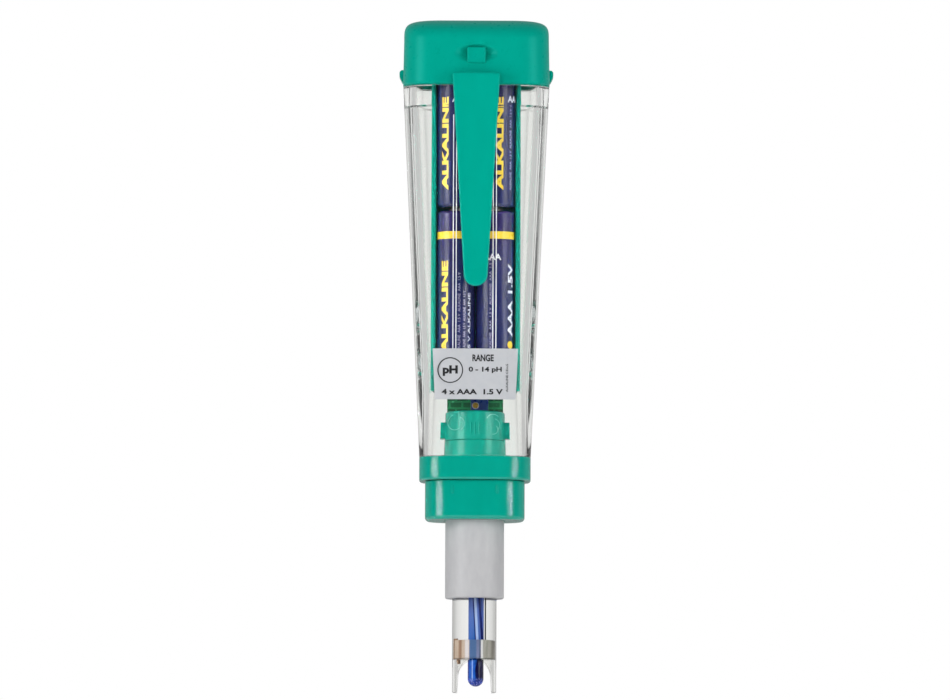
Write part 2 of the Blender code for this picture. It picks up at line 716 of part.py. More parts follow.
def clip_rows():
    """Height and half width of the clip's sections, from the rounded tip up to the root."""
    (start_z, start_half), end = CLIP_TAPER
    corner = start_z - CLIP_TIP_Z
    rows = []
    for step in range(1, CLIP_TIP_STEPS + 1):
        angle = math.radians(90 * step / (CLIP_TIP_STEPS + 1))
        rows.append((start_z - corner * math.cos(angle), start_half * math.sin(angle)))
    rows.append((start_z, start_half))
    rows.append((CLIP_PAD_Z, start_half + (end[1] - start_half) * (CLIP_PAD_Z - start_z) / (end[0] - start_z)))
    rows.append(end)
    rows.extend(CLIP_SHOULDER)
    rows.append((CLIP_TOP_Z, CLIP_SHOULDER[-1][1] - CLIP_EDGE))
    return rows


def pocket_clip(look, axis_empty):
    """Tapered spring strip: stands off the cap at its root and touches the body near its tip."""
    pad_y = -(shell_face_y(CLIP_PAD_Z) + GAP + 0.05)
    root_z = CLIP_HINGE[2]

    def inner_y(z):
        if z < CLIP_PAD_Z:
            return pad_y - CLIP_FLARE * (CLIP_PAD_Z - z) / (CLIP_PAD_Z - CLIP_TIP_Z)
        share = min(1.0, (z - CLIP_PAD_Z) / (root_z - 2.0 - CLIP_PAD_Z))
        return pad_y + (CLIP_ROOT_Y - pad_y) * share

    rings = []
    for z, half in clip_rows():
        share = (z - CLIP_TIP_Z) / (CLIP_TOP_Z - CLIP_TIP_Z)
        thickness = CLIP_THICKNESS[0] + (CLIP_THICKNESS[1] - CLIP_THICKNESS[0]) * share
        near = inner_y(z)
        far = near - thickness
        edge = CLIP_EDGE
        rings.append((
            (-half, far + edge, z), (-half + edge, far, z), (half - edge, far, z), (half, far + edge, z),
            (half, near, z), (-half, near, z),
        ))
    clip = finish_mesh("pocket_clip", loft(rings), look, axis_empty)
    width, depth, height = CLIP_ROOT_SIZE
    root = block((-width / 2, CLIP_ROOT_Y - 0.3, root_z - height / 2),
                 (width / 2, CLIP_ROOT_Y - 0.3 + depth, root_z + height / 2))
    boolean(clip, tool("clip_root", root, axis_empty), "UNION")


# ---------------------------------------------------------------- electrode module

def electrode_block(look, axis_empty):
    edge = 0.9
    rings = [
        outline(grown(BLOCK_PLAN, -edge), 0.0),
        outline(grown(BLOCK_PLAN, -edge * 0.3), edge * 0.3),
        outline(BLOCK_PLAN, edge),
        outline(BLOCK_PLAN, BLOCK_TOP_Z),
    ]
    body = finish_mesh("electrode_block", loft(rings), look, axis_empty)
    groove = 5.75
    profile = (
        (0.0, BLOCK_TOP_Z - 1), (SPIGOT_RADIUS, BLOCK_TOP_Z - 1), (SPIGOT_RADIUS, 13.4), (groove, 13.4),
        (groove, 14.6), (SPIGOT_RADIUS, 14.6), (SPIGOT_RADIUS, SPIGOT_TOP_Z - 0.5),
        (SPIGOT_RADIUS - 0.5, SPIGOT_TOP_Z), (0.0, SPIGOT_TOP_Z),
    )
    boolean(body, tool("block_spigot", turned(profile), axis_empty), "UNION")
    bore_radius = SLEEVE_RADII[1] + GAP
    bore_roof = SLEEVE_TOP_Z + 0.3
    passage = (
        (0.0, -1.0), (bore_radius, -1.0), (bore_radius, bore_roof), (2.2, bore_roof),
        (2.2, SPIGOT_TOP_Z - 2.5), (0.0, SPIGOT_TOP_Z - 2.5),
    )
    boolean(body, tool("block_bore", turned(passage), axis_empty))
    back = -BLOCK_PLAN[1] / 2
    for name, x in (("left", -6.1), ("right", 6.1)):
        bump = block((x - 0.4, back - 0.2, 7.0), (x + 0.4, back + 0.5, 9.2), 0.12)
        boolean(body, tool("block_detent_" + name, bump, axis_empty), "UNION")


def electrode_ring(look, axis_empty):
    section = []
    for step in range(8):
        angle = math.tau * step / 8
        section.append((6.22 + 0.34 * math.cos(angle), 14.0 + 0.34 * math.sin(angle)))
    finish_mesh("electrode_o_ring", turned(section, closed=True), look, axis_empty)


def electrode_pins(look, axis_empty):
    base = SPIGOT_TOP_Z + FACE_GAP
    for name, x in zip(("left", "middle", "right"), PIN_X):
        profile = ((0.0, base), (0.7, base), (0.7, base + 0.5), (0.45, base + 0.5),
                   (0.45, PIN_TOP_Z - 0.3), (0.2, PIN_TOP_Z), (0.0, PIN_TOP_Z))
        finish_mesh("contact_pin_" + name, turned(profile, 12, (x, 0.0)), look, axis_empty)


def electrode_sleeve(look, axis_empty):
    inner, outer = SLEEVE_RADII
    low = SLEEVE_BOTTOM_Z
    profile = (
        (inner, low), (outer - 0.8, low), (outer - 0.25, low + 0.3), (outer, low + 0.9),
        (outer, SLEEVE_TOP_Z), (inner, SLEEVE_TOP_Z),
    )
    finish_mesh("electrode_sleeve", turned(profile, closed=True), look, axis_empty)


def outer_tube(look, axis_empty):
    """Clear tube whose lower end is cut back to two guard prongs beside the bulb."""
    inner, outer = TUBE_RADII
    tube = finish_mesh("outer_tube", turned(tube_profile(inner, outer, TIP_Z, TUBE_TOP_Z), closed=True),
                       look, axis_empty)
    arch_steps = 10
    tip_half = ARCH_HALF_WIDTH + 0.35
    below = TIP_Z - 1
    arch = [(tip_half, below)]
    for step in range(arch_steps + 1):
        angle = math.pi * step / arch_steps
        rise = (TIP_Z - ARCH_TOP_Z) * -0.55
        arch.append((ARCH_HALF_WIDTH * math.cos(angle), ARCH_TOP_Z - rise + rise * math.sin(angle)))
    arch.append((-tip_half, below))
    cutter = loft([[(x, y, z) for x, z in arch] for y in (outer + 1, -outer - 1)])
    boolean(tube, tool("tube_arch", cutter, axis_empty))


def seal_plug(look, axis_empty):
    stem_hole = STEM_RADII[1] + 0.15
    low, high = PLUG_Z
    plug = turned(((0.0, low), (PLUG_RADIUS, low), (PLUG_RADIUS, high), (0.0, high)))
    plug = finish_mesh("seal_plug", plug, look, axis_empty)
    for name, radius, x in (("stem", stem_hole, STEM_X), ("junction", JUNCTION_RADIUS + 0.1, JUNCTION_X)):
        reach = ((0.0, low - 1), (radius, low - 1), (radius, high + 1), (0.0, high + 1))
        boolean(plug, tool("plug_hole_" + name, turned(reach, ROUND_STEPS, (x, 0.0)), axis_empty))


def glass_stem(stem_look, bulb_look, axis_empty):
    stem = turned(tube_profile(STEM_RADII[0], STEM_RADII[1], *STEM_Z), centre=(STEM_X, 0.0), closed=True)
    finish_mesh("glass_stem", stem, stem_look, axis_empty)
    inner, outer = BULB_RADII
    low, high = BULB_Z
    dome_steps = 4
    profile = []
    for radius, floor in ((outer, low), (inner, low + outer - inner)):
        centre_z = floor + radius
        arc = []
        for step in range(dome_steps + 1):
            angle = math.radians(90 * step / dome_steps)
            arc.append((radius * math.sin(angle), centre_z - radius * math.cos(angle)))
        arc.append((radius, high))
        profile.extend(arc if radius == outer else reversed(arc))
    bulb = turned(profile, centre=(STEM_X, 0.0))
    finish_mesh("glass_bulb", bulb, bulb_look, axis_empty)


def electrode_filling(gel_look, wire_look, junction_look, axis_empty):
    gel = turned(((0.0, BULB_Z[0] + 1.2), (GEL_RADIUS, BULB_Z[0] + 1.6), (GEL_RADIUS, 3.0), (0.0, 3.0)),
                 SMALL_STEPS, (STEM_X, 0.0))
    finish_mesh("buffer_gel", gel, gel_look, axis_empty)
    low, high = INNER_WIRE_Z
    count = 16
    for name, phase in (("signal", 0.0), ("shield", math.radians(150))):
        points = []
        for step in range(count + 1):
            z = low + (high - low) * step / count
            angle = phase + math.tau * (z - low) / INNER_WIRE_PITCH
            x = STEM_X + INNER_WIRE_ORBIT * math.cos(angle)
            points.append((x, INNER_WIRE_ORBIT * math.sin(angle), z))
        wire("inner_wire_" + name, points, INNER_WIRE_RADIUS, wire_look, axis_empty, resolution=0)
    straight = ((0.0, PLUG_Z[1] + 0.1), (0.16, PLUG_Z[1] + 0.1), (0.16, 3.0), (0.0, 3.0))
    finish_mesh("reference_wire", turned(straight, 8, (REFERENCE_WIRE_X, 0.0)), wire_look, axis_empty)
    low, high = JUNCTION_Z
    rod = ((0.0, low), (JUNCTION_RADIUS, low), (JUNCTION_RADIUS, high), (0.0, high))
    finish_mesh("reference_junction", turned(rod, SMALL_STEPS, (JUNCTION_X, 0.0)), junction_look, axis_empty)


# ---------------------------------------------------------------- the whole tester

def make_tester():
    clear_scene()
    cap_axis = joint_empty("axis_cap", (0.0, 0.0, CAP_BOTTOM_Z))
    clip_axis = joint_empty("axis_clip", CLIP_HINGE)
    electrode_axis = joint_empty("axis_electrode", (0.0, 0.0, 0.0))
    trimmer_axis = joint_empty("axis_trimmer", (TRIMMER_SCREW[0], TRIMMER_CENTRE[1], TRIMMER_SCREW[1]))
    key_axes = {}
    for key, (x, z) in KEY_PLACES.items():
        key_axes[key] = joint_empty("axis_key_" + key, (x, shell_face_y(z), z))

    body_shell(material("clear_body_plastic", CLEAR, 0.08, transmission=0.9))
    bottom_collar(material("teal_collar_plastic", TEAL, 0.28))
    connector_socket(material("teal_socket_plastic", TEAL, 0.3))
    battery_carrier(material("teal_carrier_plastic", TEAL, 0.35))
    cells(material("navy_cell_wrap", NAVY, 0.35))
    negative_contacts(material("nickel_contact", SILVER, 0.3, 1.0))

    main_pcb(material("board_lacquer", BOARD_GREEN, 0.4))
    pcb_screws(material("zinc_screw", SILVER, 0.35, 1.0))
    display(material("lcd_glass_grey", (150, 158, 140), 0.15), material("frame_plastic", TEAL, 0.4),
            material("zebra_rubber", (222, 168, 170), 0.7))
    chips(material("chip_epoxy", (28, 28, 30), 0.5))
    tact_switches(material("switch_plastic", (40, 40, 42), 0.5))
    trimmer(material("trimmer_blue", (28, 62, 140), 0.4), material("trimmer_brass", BRASS, 0.35, 1.0),
            trimmer_axis)
    contact_blade(material("nickel_blade", SILVER, 0.3, 1.0))

    front_panel(material("panel_film", (0, 150, 132), 0.45))
    keys(material("key_rubber", (232, 234, 232), 0.6), key_axes)
    rear_label(material("label_film", (204, 206, 210), 0.45))

    battery_cap(material("teal_cap_plastic", TEAL, 0.25), cap_axis)
    cap_gasket(material("gasket_rubber", (40, 42, 44), 0.7))
    cap_contacts(material("nickel_plate", SILVER, 0.3, 1.0), material("holder_plastic", (48, 50, 52), 0.5),
                 cap_axis)
    pocket_clip(material("teal_clip_plastic", TEAL, 0.25), clip_axis)

    electrode_block(material("teal_block_plastic", TEAL, 0.25), electrode_axis)
    electrode_ring(material("o_ring_rubber", (30, 30, 32), 0.7), electrode_axis)
    electrode_pins(material("gold_pin", (212, 175, 92), 0.3, 1.0), electrode_axis)
    electrode_sleeve(material("grey_sleeve_plastic", GREY, 0.45), electrode_axis)
    outer_tube(material("clear_tube_plastic", (234, 234, 232), 0.06, transmission=0.9), electrode_axis)
    seal_plug(material("tan_seal", (184, 166, 144), 0.35, transmission=0.3), electrode_axis)
    glass_stem(material("stem_glass", (210, 220, 238), 0.04, transmission=0.9),
               material("bulb_glass", (40, 78, 170), 0.04, transmission=0.4), electrode_axis)
    electrode_filling(material("blue_gel", (52, 96, 186), 0.3), material("dark_wire", (24, 30, 84), 0.4),
                      material("junction_ceramic", (176, 144, 112), 0.7), electrode_axis)


make_tester()
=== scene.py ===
"""A pocket pH tester in a plain studio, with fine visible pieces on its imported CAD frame.

The frame's axes: +Z runs up the tester, -Y is its back, with the clip, the cells and the label,
+Y is its front, with the display and the keys, and X is the width. The origin lies on the
electrode's axis, in the plane of the end block's underside. Shapes are modelled in millimetres
and scaled to metres when they become objects.
"""

import bmesh
import bpy
from math import asin, cos, pi, radians, sin, sqrt, tau
from mathutils import Matrix, Vector

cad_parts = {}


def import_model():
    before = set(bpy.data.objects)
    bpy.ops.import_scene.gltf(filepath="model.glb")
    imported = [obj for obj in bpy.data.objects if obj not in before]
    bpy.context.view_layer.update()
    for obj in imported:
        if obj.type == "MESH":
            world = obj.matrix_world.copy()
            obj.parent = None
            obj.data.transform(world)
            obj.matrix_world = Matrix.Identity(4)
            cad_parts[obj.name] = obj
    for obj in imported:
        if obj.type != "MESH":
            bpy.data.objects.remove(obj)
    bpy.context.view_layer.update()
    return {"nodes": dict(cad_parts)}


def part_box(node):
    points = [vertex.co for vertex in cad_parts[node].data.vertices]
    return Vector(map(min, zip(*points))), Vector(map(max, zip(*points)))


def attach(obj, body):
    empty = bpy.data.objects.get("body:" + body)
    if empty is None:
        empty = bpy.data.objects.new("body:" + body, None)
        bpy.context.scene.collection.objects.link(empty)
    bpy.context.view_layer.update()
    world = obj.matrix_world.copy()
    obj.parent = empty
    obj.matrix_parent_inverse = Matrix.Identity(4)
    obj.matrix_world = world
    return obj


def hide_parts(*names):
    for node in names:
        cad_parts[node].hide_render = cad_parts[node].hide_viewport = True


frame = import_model()

MM = 0.001
QUARTER = pi / 2
MERGE = 1e-4         # points closer than this are one point
ON_AXIS = 1e-6       # radius that stands for a point on the axis
CORNER_STEPS = 20    # facets in a quarter turn of a rounded-rectangle corner
ROUND_STEPS = 72     # facets round a large cylinder
SMALL_STEPS = 28     # facets round a pin, a wire or a screw
EASE_STEPS = 6       # facets across a rounded edge
FACE_GAP = 0.08      # clearance between flat faces that rest on each other

# Rounded-rectangle sections: width, depth, corner radius
SHELL_FOOT = (30.3, 24.5, 8.0)
SHELL_HEAD = (39.7, 29.0, 8.3)
NECK_OUTER = (36.2, 25.6, 6.9)
BORE = (33.2, 23.0, 5.4)
CAVITY_HEAD = (32.2, 22.4, 5.2)
CAVITY_FOOT = (25.8, 20.6, 5.0)
CAVITY_MOUTH = (25.8, 20.0, 5.0)
CAP_FOOT = (39.9, 29.0, 8.5)
CAP_SHOULDER = (39.4, 28.6, 8.4)
CAP_SKIRT_BORE = (36.8, 26.2, 7.2)
CAP_UPPER_BORE = (28.0, 20.8, 4.0)
COLLAR_PLAN = (30.3, 24.5, 8.0)
BLOCK_PLAN = (27.1, 21.5, 7.4)

# Body shell and collar, in heights along the tester
SHELL_HEAD_Z = 117.95
NECK_TOP_Z = 123.9
STEP_Z = 112.4       # the bore narrows below this height
KNEE_Z = 34.0        # the cavity stops tapering below this height
COLLAR_TOP_Z = 17.0
RIB_Z = (44.0, 110.0)
RIB_X = (-6.12, -5.3, 4.7, 5.55)
RIB_SIZE = (0.22, 0.25)        # width and height of a guide rib inside the back wall

# Battery cap
DOME_STEPS = 22
DOME_Z = (130.5, 136.2)
DOME_INSETS = (6.5, 9.0)       # width and depth that the dome draws in on each side
DOME_WIDTH_POWER = 1.9
DOME_RADIUS_LOSS = 3.9
CAP_EDGE = 1.1
SKIRT_TOP_Z = 124.9
CEILING_Z = 132.3
BAR_Z = 126.05
BAR_SIZE = (5.1, 1.7, 4.5)
BAR_PROUD = 0.5
SCOOP_Z = 126.6
SCOOP_HALF = (6.2, 2.6)
SCOOP_DEPTH = 2.1
SCOOP_STEPS = (48, 22)         # facets across and along the scooped part of the back
NUB_Z = (119.6, 122.8)
NUB_HALF_DEPTH = 3.5
NUB_PROUD = 1.0

# Pocket clip
CLIP_TIP_Z = 63.05
CLIP_TOP_Z = 121.2
CLIP_TAPER = ((66.3, 3.25), (117.0, 6.25))     # height and half width where the taper starts and ends
CLIP_SHOULDER = (119.4, 6.45)
CLIP_TOP_HALF = 6.6
CLIP_ROOT_Y = -16.2
CLIP_PAD_Z = 68.0
CLIP_PAD_GAP = 0.35
CLIP_FLARE = 0.9
CLIP_BEND_Z = 117.4
CLIP_THICKNESS = (1.5, 1.9)
CLIP_EDGES = (0.7, 0.3)        # rounding of the edges away from and towards the body
CLIP_END_ROUND = 0.8
CLIP_ROOT = ((-5.2, -16.5, 117.9), (5.2, -14.9, 120.9))

# Cells and carrier
CELL_RADIUS = 5.25
CELL_X = 5.35
CELL_Y = -4.55
CELL_LENGTH = 44.45
CELL_RING_Z = (35.8, 37.8)     # the yellow ring, above a cell's foot
PRINT_LIFT = 0.03
CARRIER_HALF_WIDTH = 12.3
CARRIER_WALL = 1.45
CARRIER_Y = (-6.5, 0.95, 2.0)  # wall tips, floor back, floor front
SPRING_TURNS = 3.5
SPRING_RADII = (3.9, 2.2)
SPRING_WIRE = 0.25

# Front face
KEY_PLACES = {"power": (0.0, 46.0), "cal": (-4.7, 58.5), "hold": (4.7, 58.5)}
KEY_RADIUS = 3.8
KEY_HOLE_RADIUS = 4.1
KEY_FLANGE_RADIUS = 4.45
PANEL_Z = (38.5, 112.0)
PANEL_MARGIN = 0.7
PANEL_CORNER = 3.0
PANEL_THICKNESS = 0.35
PANEL_TRIM = (0.35, 0.9)       # width of the line round the window, and its reach outside it
WINDOW = (8.6, 81.0, 96.0)     # half width, low and high
PCB_FRONT_Y = 3.5
SCREW_Z = (38.4, 108.0)
TRIMMER_PLACE = (0.1, 31.6)
INK_LIFT = 0.005               # gap between a film and the ink on it
INK_DEPTH = 0.02

# Rear label
LABEL_Z = (32.4, 46.2)
LABEL_THICKNESS = 0.15
LABEL_CORNER_SHARE = 3 / 11

# Connector and electrode
NECK_RADIUS = 7.95
BORE_RADIUS = 6.7
SOCKET_ROOF_Z = 27.4
SPIGOT_RADIUS = 6.4
SPIGOT_TOP_Z = 21.0
GROOVE_RADIUS = 5.75
GROOVE_Z = (13.4, 14.6)
BLOCK_TOP_Z = 10.6
TUBE_RADII = (5.0, 6.0)
TUBE_STEPS = 96
SLEEVE_BORE = 6.25
SLEEVE_SKIRT = 0.7
ARCH_TOP_Z = -37.6
ARCH_HALF_WIDTH = 4.35
STEM_X = 0.4
STEM_RADIUS = 1.75
STEM_HOLE_RADIUS = 1.85
BULB_RADIUS = 2.15
JUNCTION_X = -4.3
REFERENCE_X = 2.5
WIRE_ORBIT = 1.18
WIRE_RADIUS = 0.15
WIRE_PITCH = 45.0
WIRE_Z = (-39.1, 2.0)

# Sealant curls: centre across and up, first radius, first angle and turn in degrees
SEALANT_RADIUS = 0.06
SEALANT_CURLS = (
    (-5.2, 26.4, 2.4, 110, 190),
    (-4.9, 26.6, 2.3, -60, 120),
    (4.6, 26.9, 2.2, 40, 110),
    (4.9, 26.3, 2.0, -50, 120),
    (5.0, 24.9, 1.5, -100, 150),
)

# Lettering on each cell: ink, words, height, length, weight, slices, whether it reads upwards,
# distance across from the cell's axis, and height above the cell's foot
INKS = {"yellow": "yellow_ink", "white": "white_ink", "small": "faint_white_ink"}
SMALL_PRINT = "ALKALINE  AAA  1.5 V  ALKALINE  AAA  1.5 V"
MAIN_ROW = ("yellow", "ALKALINE", 2.1, 25.3, 0.05, 8, True)
SMALL_ROW = ("small", SMALL_PRINT, 0.75, 22.0, 0.0, 3, True)
SIZE_ROW = ("white", "AAA", 1.8, None, 0.02, 0, False)
CELL_PRINT = {
    "lower_left": (
        (*MAIN_ROW, -2.15, 4.5),
        (*SMALL_ROW, 1.25, 4.6),
        ("small", SMALL_PRINT, 0.7, 17.0, 0.01, 3, True, 2.6, 4.6),
        ("white", "1.5 V ALKALINE", 0.85, 16.5, 0.02, 3, True, 3.9, 4.6),
    ),
    "lower_right": (
        ("white", "AAA 1.5V", 2.0, 19.8, 0.03, 8, True, 4.65, 9.25),
        ("small", SMALL_PRINT, 0.7, 26.0, 0.0, 3, True, -0.95, 4.4),
        ("white", "AAA", 1.7, None, 0.02, 0, False, -3.05, 30.0),
    ),
    "upper_left": ((*MAIN_ROW, -2.15, 4.5), (*SMALL_ROW, 1.25, 4.6), (*SIZE_ROW, -1.2, 28.4)),
    "upper_right": ((*MAIN_ROW, 2.05, 4.5), (*SMALL_ROW, 4.2, 4.6), (*SIZE_ROW, 3.2, 28.4)),
}

# Colours as they look, 0 to 255
TEAL = (0, 166, 146)
TEAL_DEEP = (0, 162, 142)
NAVY = (18, 24, 72)
VIOLET = (42, 28, 90)
YELLOW = (240, 208, 60)
TEAL_SHINE = (0.12, 1.0, 0.94, 1.0)    # linear tints of what the teal plastics mirror
PALE_SHINE = (0.7, 1.0, 0.98, 1.0)

looks = {}           # finished materials by name


# Meshes in millimetres

def box_mm(node):
    """Lowest and highest corner of a CAD node, in millimetres."""
    low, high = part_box(node)
    return low / MM, high / MM


def heights(node):
    low, high = box_mm(node)
    return low.z, high.z


def spaced(steps, length=QUARTER, start=0.0):
    """Even steps from start over a length or an angle, with both ends."""
    return [start + length * step / steps for step in range(steps + 1)]


def mix(first, second, share):
    return tuple(a + (b - a) * share for a, b in zip(first, second))


def grown(section, offset):
    """The same section with every side moved out by offset."""
    width, depth, radius = section
    return width + 2 * offset, depth + 2 * offset, radius + offset


def outline(section, z):
    """Rounded rectangle at height z, anticlockwise seen from above."""
    width, depth, radius = section
    points = []
    for turn, (side_x, side_y) in enumerate(((1, 1), (-1, 1), (-1, -1), (1, -1))):
        for angle in spaced(CORNER_STEPS, start=QUARTER * turn):
            points.append((side_x * (width / 2 - radius) + radius * cos(angle),
                           side_y * (depth / 2 - radius) + radius * sin(angle), z))
    return points


def stack(*levels):
    """Outlines from pairs of section and height."""
    return [outline(section, z) for section, z in levels]


def rounding(section, z, edge, top=False, shape=outline):
    """Rings round the bottom edge of an upright form at height z, or round its top edge."""
    rings = []
    for angle in spaced(EASE_STEPS):
        inset = edge * (1 - sin(angle))
        rise = edge * (1 - cos(angle))
        if top:
            inset, rise = rise, -inset
        rings.append(shape(grown(section, -inset), z + rise))
    return rings


def loft(rings, closed=False):
    """Skin rings that have the same number of points; closed joins the last to the first."""
    mesh = bmesh.new()
    rows = [[mesh.verts.new(point) for point in ring] for ring in rings]
    count = len(rows[0])
    pairs = list(zip(rows, rows[1:]))
    if closed:
        pairs.append((rows[-1], rows[0]))
    for low, high in pairs:
        for index in range(count):
            following = (index + 1) % count
            mesh.faces.new((low[index], low[following], high[following], high[index]))
    if not closed:
        mesh.faces.new(list(reversed(rows[0])))
        mesh.faces.new(rows[-1])
    return mesh


def eased(points):
    """Round an outline's corners: a point's third value is how far its rounding reaches."""
    result = []
    for index, (across, along, *reach) in enumerate(points):
        if not reach:
            result.append((across, along))
            continue
        corner = Vector((across, along))
        before = Vector(points[index - 1][:2])
        after = Vector(points[(index + 1) % len(points)][:2])
        start = corner + (before - corner).normalized() * reach[0]
        end = corner + (after - corner).normalized() * reach[0]
        for share in spaced(EASE_STEPS, 1.0):
            bend = start * (1 - share) ** 2 + corner * 2 * share * (1 - share) + end * share ** 2
            result.append((bend.x, bend.y))
    return result


def turned(profile, steps=ROUND_STEPS, centre=(0.0, 0.0), closed=False):
    """Turn radius and height pairs round a vertical axis; closed makes a ring or a tube."""
    rings = []
    for radius, z in eased(profile):
        radius = max(radius, ON_AXIS)
        rings.append([(centre[0] + radius * cos(angle), centre[1] + radius * sin(angle), z)
                      for angle in spaced(steps, tau)[:-1]])
    return loft(rings, closed)


def rod(radius, low, high, low_edge=0.0, high_edge=0.0, steps=ROUND_STEPS, centre=(0.0, 0.0)):
    """Upright solid cylinder, with one or both ends rounded."""
    sides = ((low, low_edge), (high, high_edge))
    ends = [(radius, z, edge) if edge else (radius, z) for z, edge in sides]
    return turned(((0.0, low), *ends, (0.0, high)), steps, centre)


def moved(mesh, vector):
    bmesh.ops.translate(mesh, verts=mesh.verts, vec=vector)
    return mesh


def along_y(mesh, x, z):
    """Lay a vertical turned mesh along +Y, with its axis through x, z."""
    bmesh.ops.rotate(mesh, verts=mesh.verts, cent=(0, 0, 0), matrix=Matrix.Rotation(-QUARTER, 3, "X"))
    return moved(mesh, (x, 0, z))


def block(low, high, edge=0.0, segments=3):
    """A box between two corners, with all its edges rounded by edge."""
    mesh = bmesh.new()
    bmesh.ops.create_cube(mesh, size=1.0)
    bmesh.ops.scale(mesh, verts=mesh.verts, vec=[b - a for a, b in zip(low, high)])
    moved(mesh, [(a + b) / 2 for a, b in zip(low, high)])
    if edge:
        bmesh.ops.bevel(mesh, geom=mesh.edges[:], offset=edge, segments=segments, affect="EDGES",
                        profile=0.5)
    return mesh


def both_sides(low, high, edge=0.0):
    """A block and, before it, its mirror image across the middle plane."""
    return [block((-high[0], *low[1:]), (-low[0], *high[1:]), edge), block(low, high, edge)]


def wire(points, radius, up, steps=12):
    """A round wire along points; up is a direction that the wire never runs in."""
    rings = []
    for index, point in enumerate(points):
        ahead = Vector(points[min(index + 1, len(points) - 1)])
        behind = Vector(points[max(index - 1, 0)])
        side = (ahead - behind).cross(Vector(up)).normalized()
        lift = side.cross(ahead - behind).normalized()
        rings.append([Vector(point) + (side * cos(angle) + lift * sin(angle)) * radius
                      for angle in spaced(steps, tau)[:-1]])
    return loft(rings)


def clean(mesh):
    bmesh.ops.remove_doubles(mesh, verts=mesh.verts, dist=MERGE)
    bmesh.ops.recalc_face_normals(mesh, faces=mesh.faces)
    return mesh


def stored(mesh, name="part"):
    """Mesh data from a bmesh, which is cleaned first and freed afterwards."""
    data = bpy.data.meshes.new(name)
    clean(mesh).to_mesh(data)
    mesh.free()
    return data


def joined(meshes):
    """Several meshes as one, each still its own closed form."""
    whole = bmesh.new()
    for mesh in meshes:
        data = stored(mesh)
        whole.from_mesh(data)
        bpy.data.meshes.remove(data)
    return whole


def linked(name, data):
    item = bpy.data.objects.new(name, data)
    bpy.context.scene.collection.objects.link(item)
    return item


def evaluated(item):
    """An object's mesh with its modifiers done, as a bmesh; the object is then removed."""
    shown = item.evaluated_get(bpy.context.evaluated_depsgraph_get())
    mesh = bmesh.new()
    mesh.from_mesh(shown.to_mesh())
    shown.to_mesh_clear()
    bpy.data.objects.remove(item, do_unlink=True)
    return mesh


def combined(mesh, others, operation):
    """Boolean of a mesh with others, one after another."""
    for other in others:
        item, operand = (linked("operand", stored(part, "operand")) for part in (mesh, other))
        step = item.modifiers.new("step", "BOOLEAN")
        step.operation = operation
        step.solver = "EXACT"
        step.object = operand
        mesh = evaluated(item)
        bpy.data.objects.remove(operand, do_unlink=True)
    return mesh


def cut(mesh, *others):
    return combined(mesh, others, "DIFFERENCE")


def fused(mesh, *others):
    return combined(mesh, others, "UNION")


def letters(words, height, depth, length=None, weight=0.0, slices=0):
    """Solid lettering: X along the words, Y up, Z off the surface, from the lower left corner."""
    curve = bpy.data.curves.new("letters", "FONT")
    curve.body = words
    curve.offset = weight
    curve.extrude = 0.5
    curve.resolution_u = 4
    mesh = clean(evaluated(linked("letters", curve)))
    low = [min(vert.co[axis] for vert in mesh.verts) for axis in range(3)]
    high = [max(vert.co[axis] for vert in mesh.verts) for axis in range(3)]
    up = height / (high[1] - low[1])
    across = length / (high[0] - low[0]) if length else up
    moved(mesh, [-value for value in low])
    bmesh.ops.scale(mesh, verts=mesh.verts, vec=(across, up, depth))
    for index in range(1, slices):
        everything = mesh.verts[:] + mesh.edges[:] + mesh.faces[:]
        bmesh.ops.bisect_plane(mesh, geom=everything, dist=1e-6, plane_no=(0, 1, 0),
                               plane_co=(0, height * index / slices, 0))
    return mesh


def placed(mesh, place):
    """Move every point of a flat-laid mesh by a rule from X, Y, Z to its place on a surface."""
    for vert in mesh.verts:
        vert.co = place(*vert.co)
    return mesh


def piece(name, parts, body, stands_for=(), soften=0.0, sharp=32.0, clear=False):
    """One visible object from pairs of mesh and look; it rides on a body of the frame."""
    data = bpy.data.meshes.new(name)
    for index, (mesh, look) in enumerate(parts):
        for face in mesh.faces:
            face.material_index = index
        data.materials.append(looks[look])
    whole = joined(mesh for mesh, _ in parts)
    bmesh.ops.scale(whole, verts=whole.verts, vec=(MM, MM, MM))
    whole.to_mesh(data)
    whole.free()
    data.shade_smooth()
    data.set_sharp_from_angle(angle=radians(sharp))
    item = linked(name, data)
    if soften:
        step = item.modifiers.new("soft_edges", "BEVEL")
        step.width = soften * MM
        step.segments = 3
        step.limit_method = "ANGLE"
        step.angle_limit = radians(sharp)
        step.harden_normals = True
    if not clear:
        weighted = item.modifiers.new("even_normals", "WEIGHTED_NORMAL")
        weighted.keep_sharp = True
    item.visible_shadow = not clear
    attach(item, body)
    if stands_for:
        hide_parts(*stands_for)
    return item


# Materials

def linear(colour):
    """Linear colour with alpha from 0 to 255 display values."""
    values = []
    for channel in colour:
        value = channel / 255
        values.append(value / 12.92 if value <= 0.04045 else ((value + 0.055) / 1.055) ** 2.4)
    return (*values, 1.0)


class Nodes:
    """A node tree that is filled node by node."""

    def __init__(self, tree):
        self.tree = tree

    def feed(self, socket, value):
        """Link another node's output to a socket, or set a plain value on it."""
        if isinstance(value, bpy.types.NodeSocket):
            self.tree.links.new(value, socket)
        else:
            socket.default_value = value

    def node(self, kind, inputs=(), **settings):
        made = self.tree.nodes.new("ShaderNode" + kind)
        for setting, value in settings.items():
            setattr(made, setting, value)
        for socket, value in dict(inputs).items():
            self.feed(made.inputs[socket], value)
        return made

    def levels(self, value, low, high, start=0.3, end=0.7):
        """A value between start and end, spread from low to high."""
        return self.node("MapRange", {"Value": value, "From Min": start, "From Max": end,
                                      "To Min": low, "To Max": high}).outputs[0]

    def maths(self, operation, *values):
        return self.node("Math", enumerate(values), operation=operation).outputs[0]


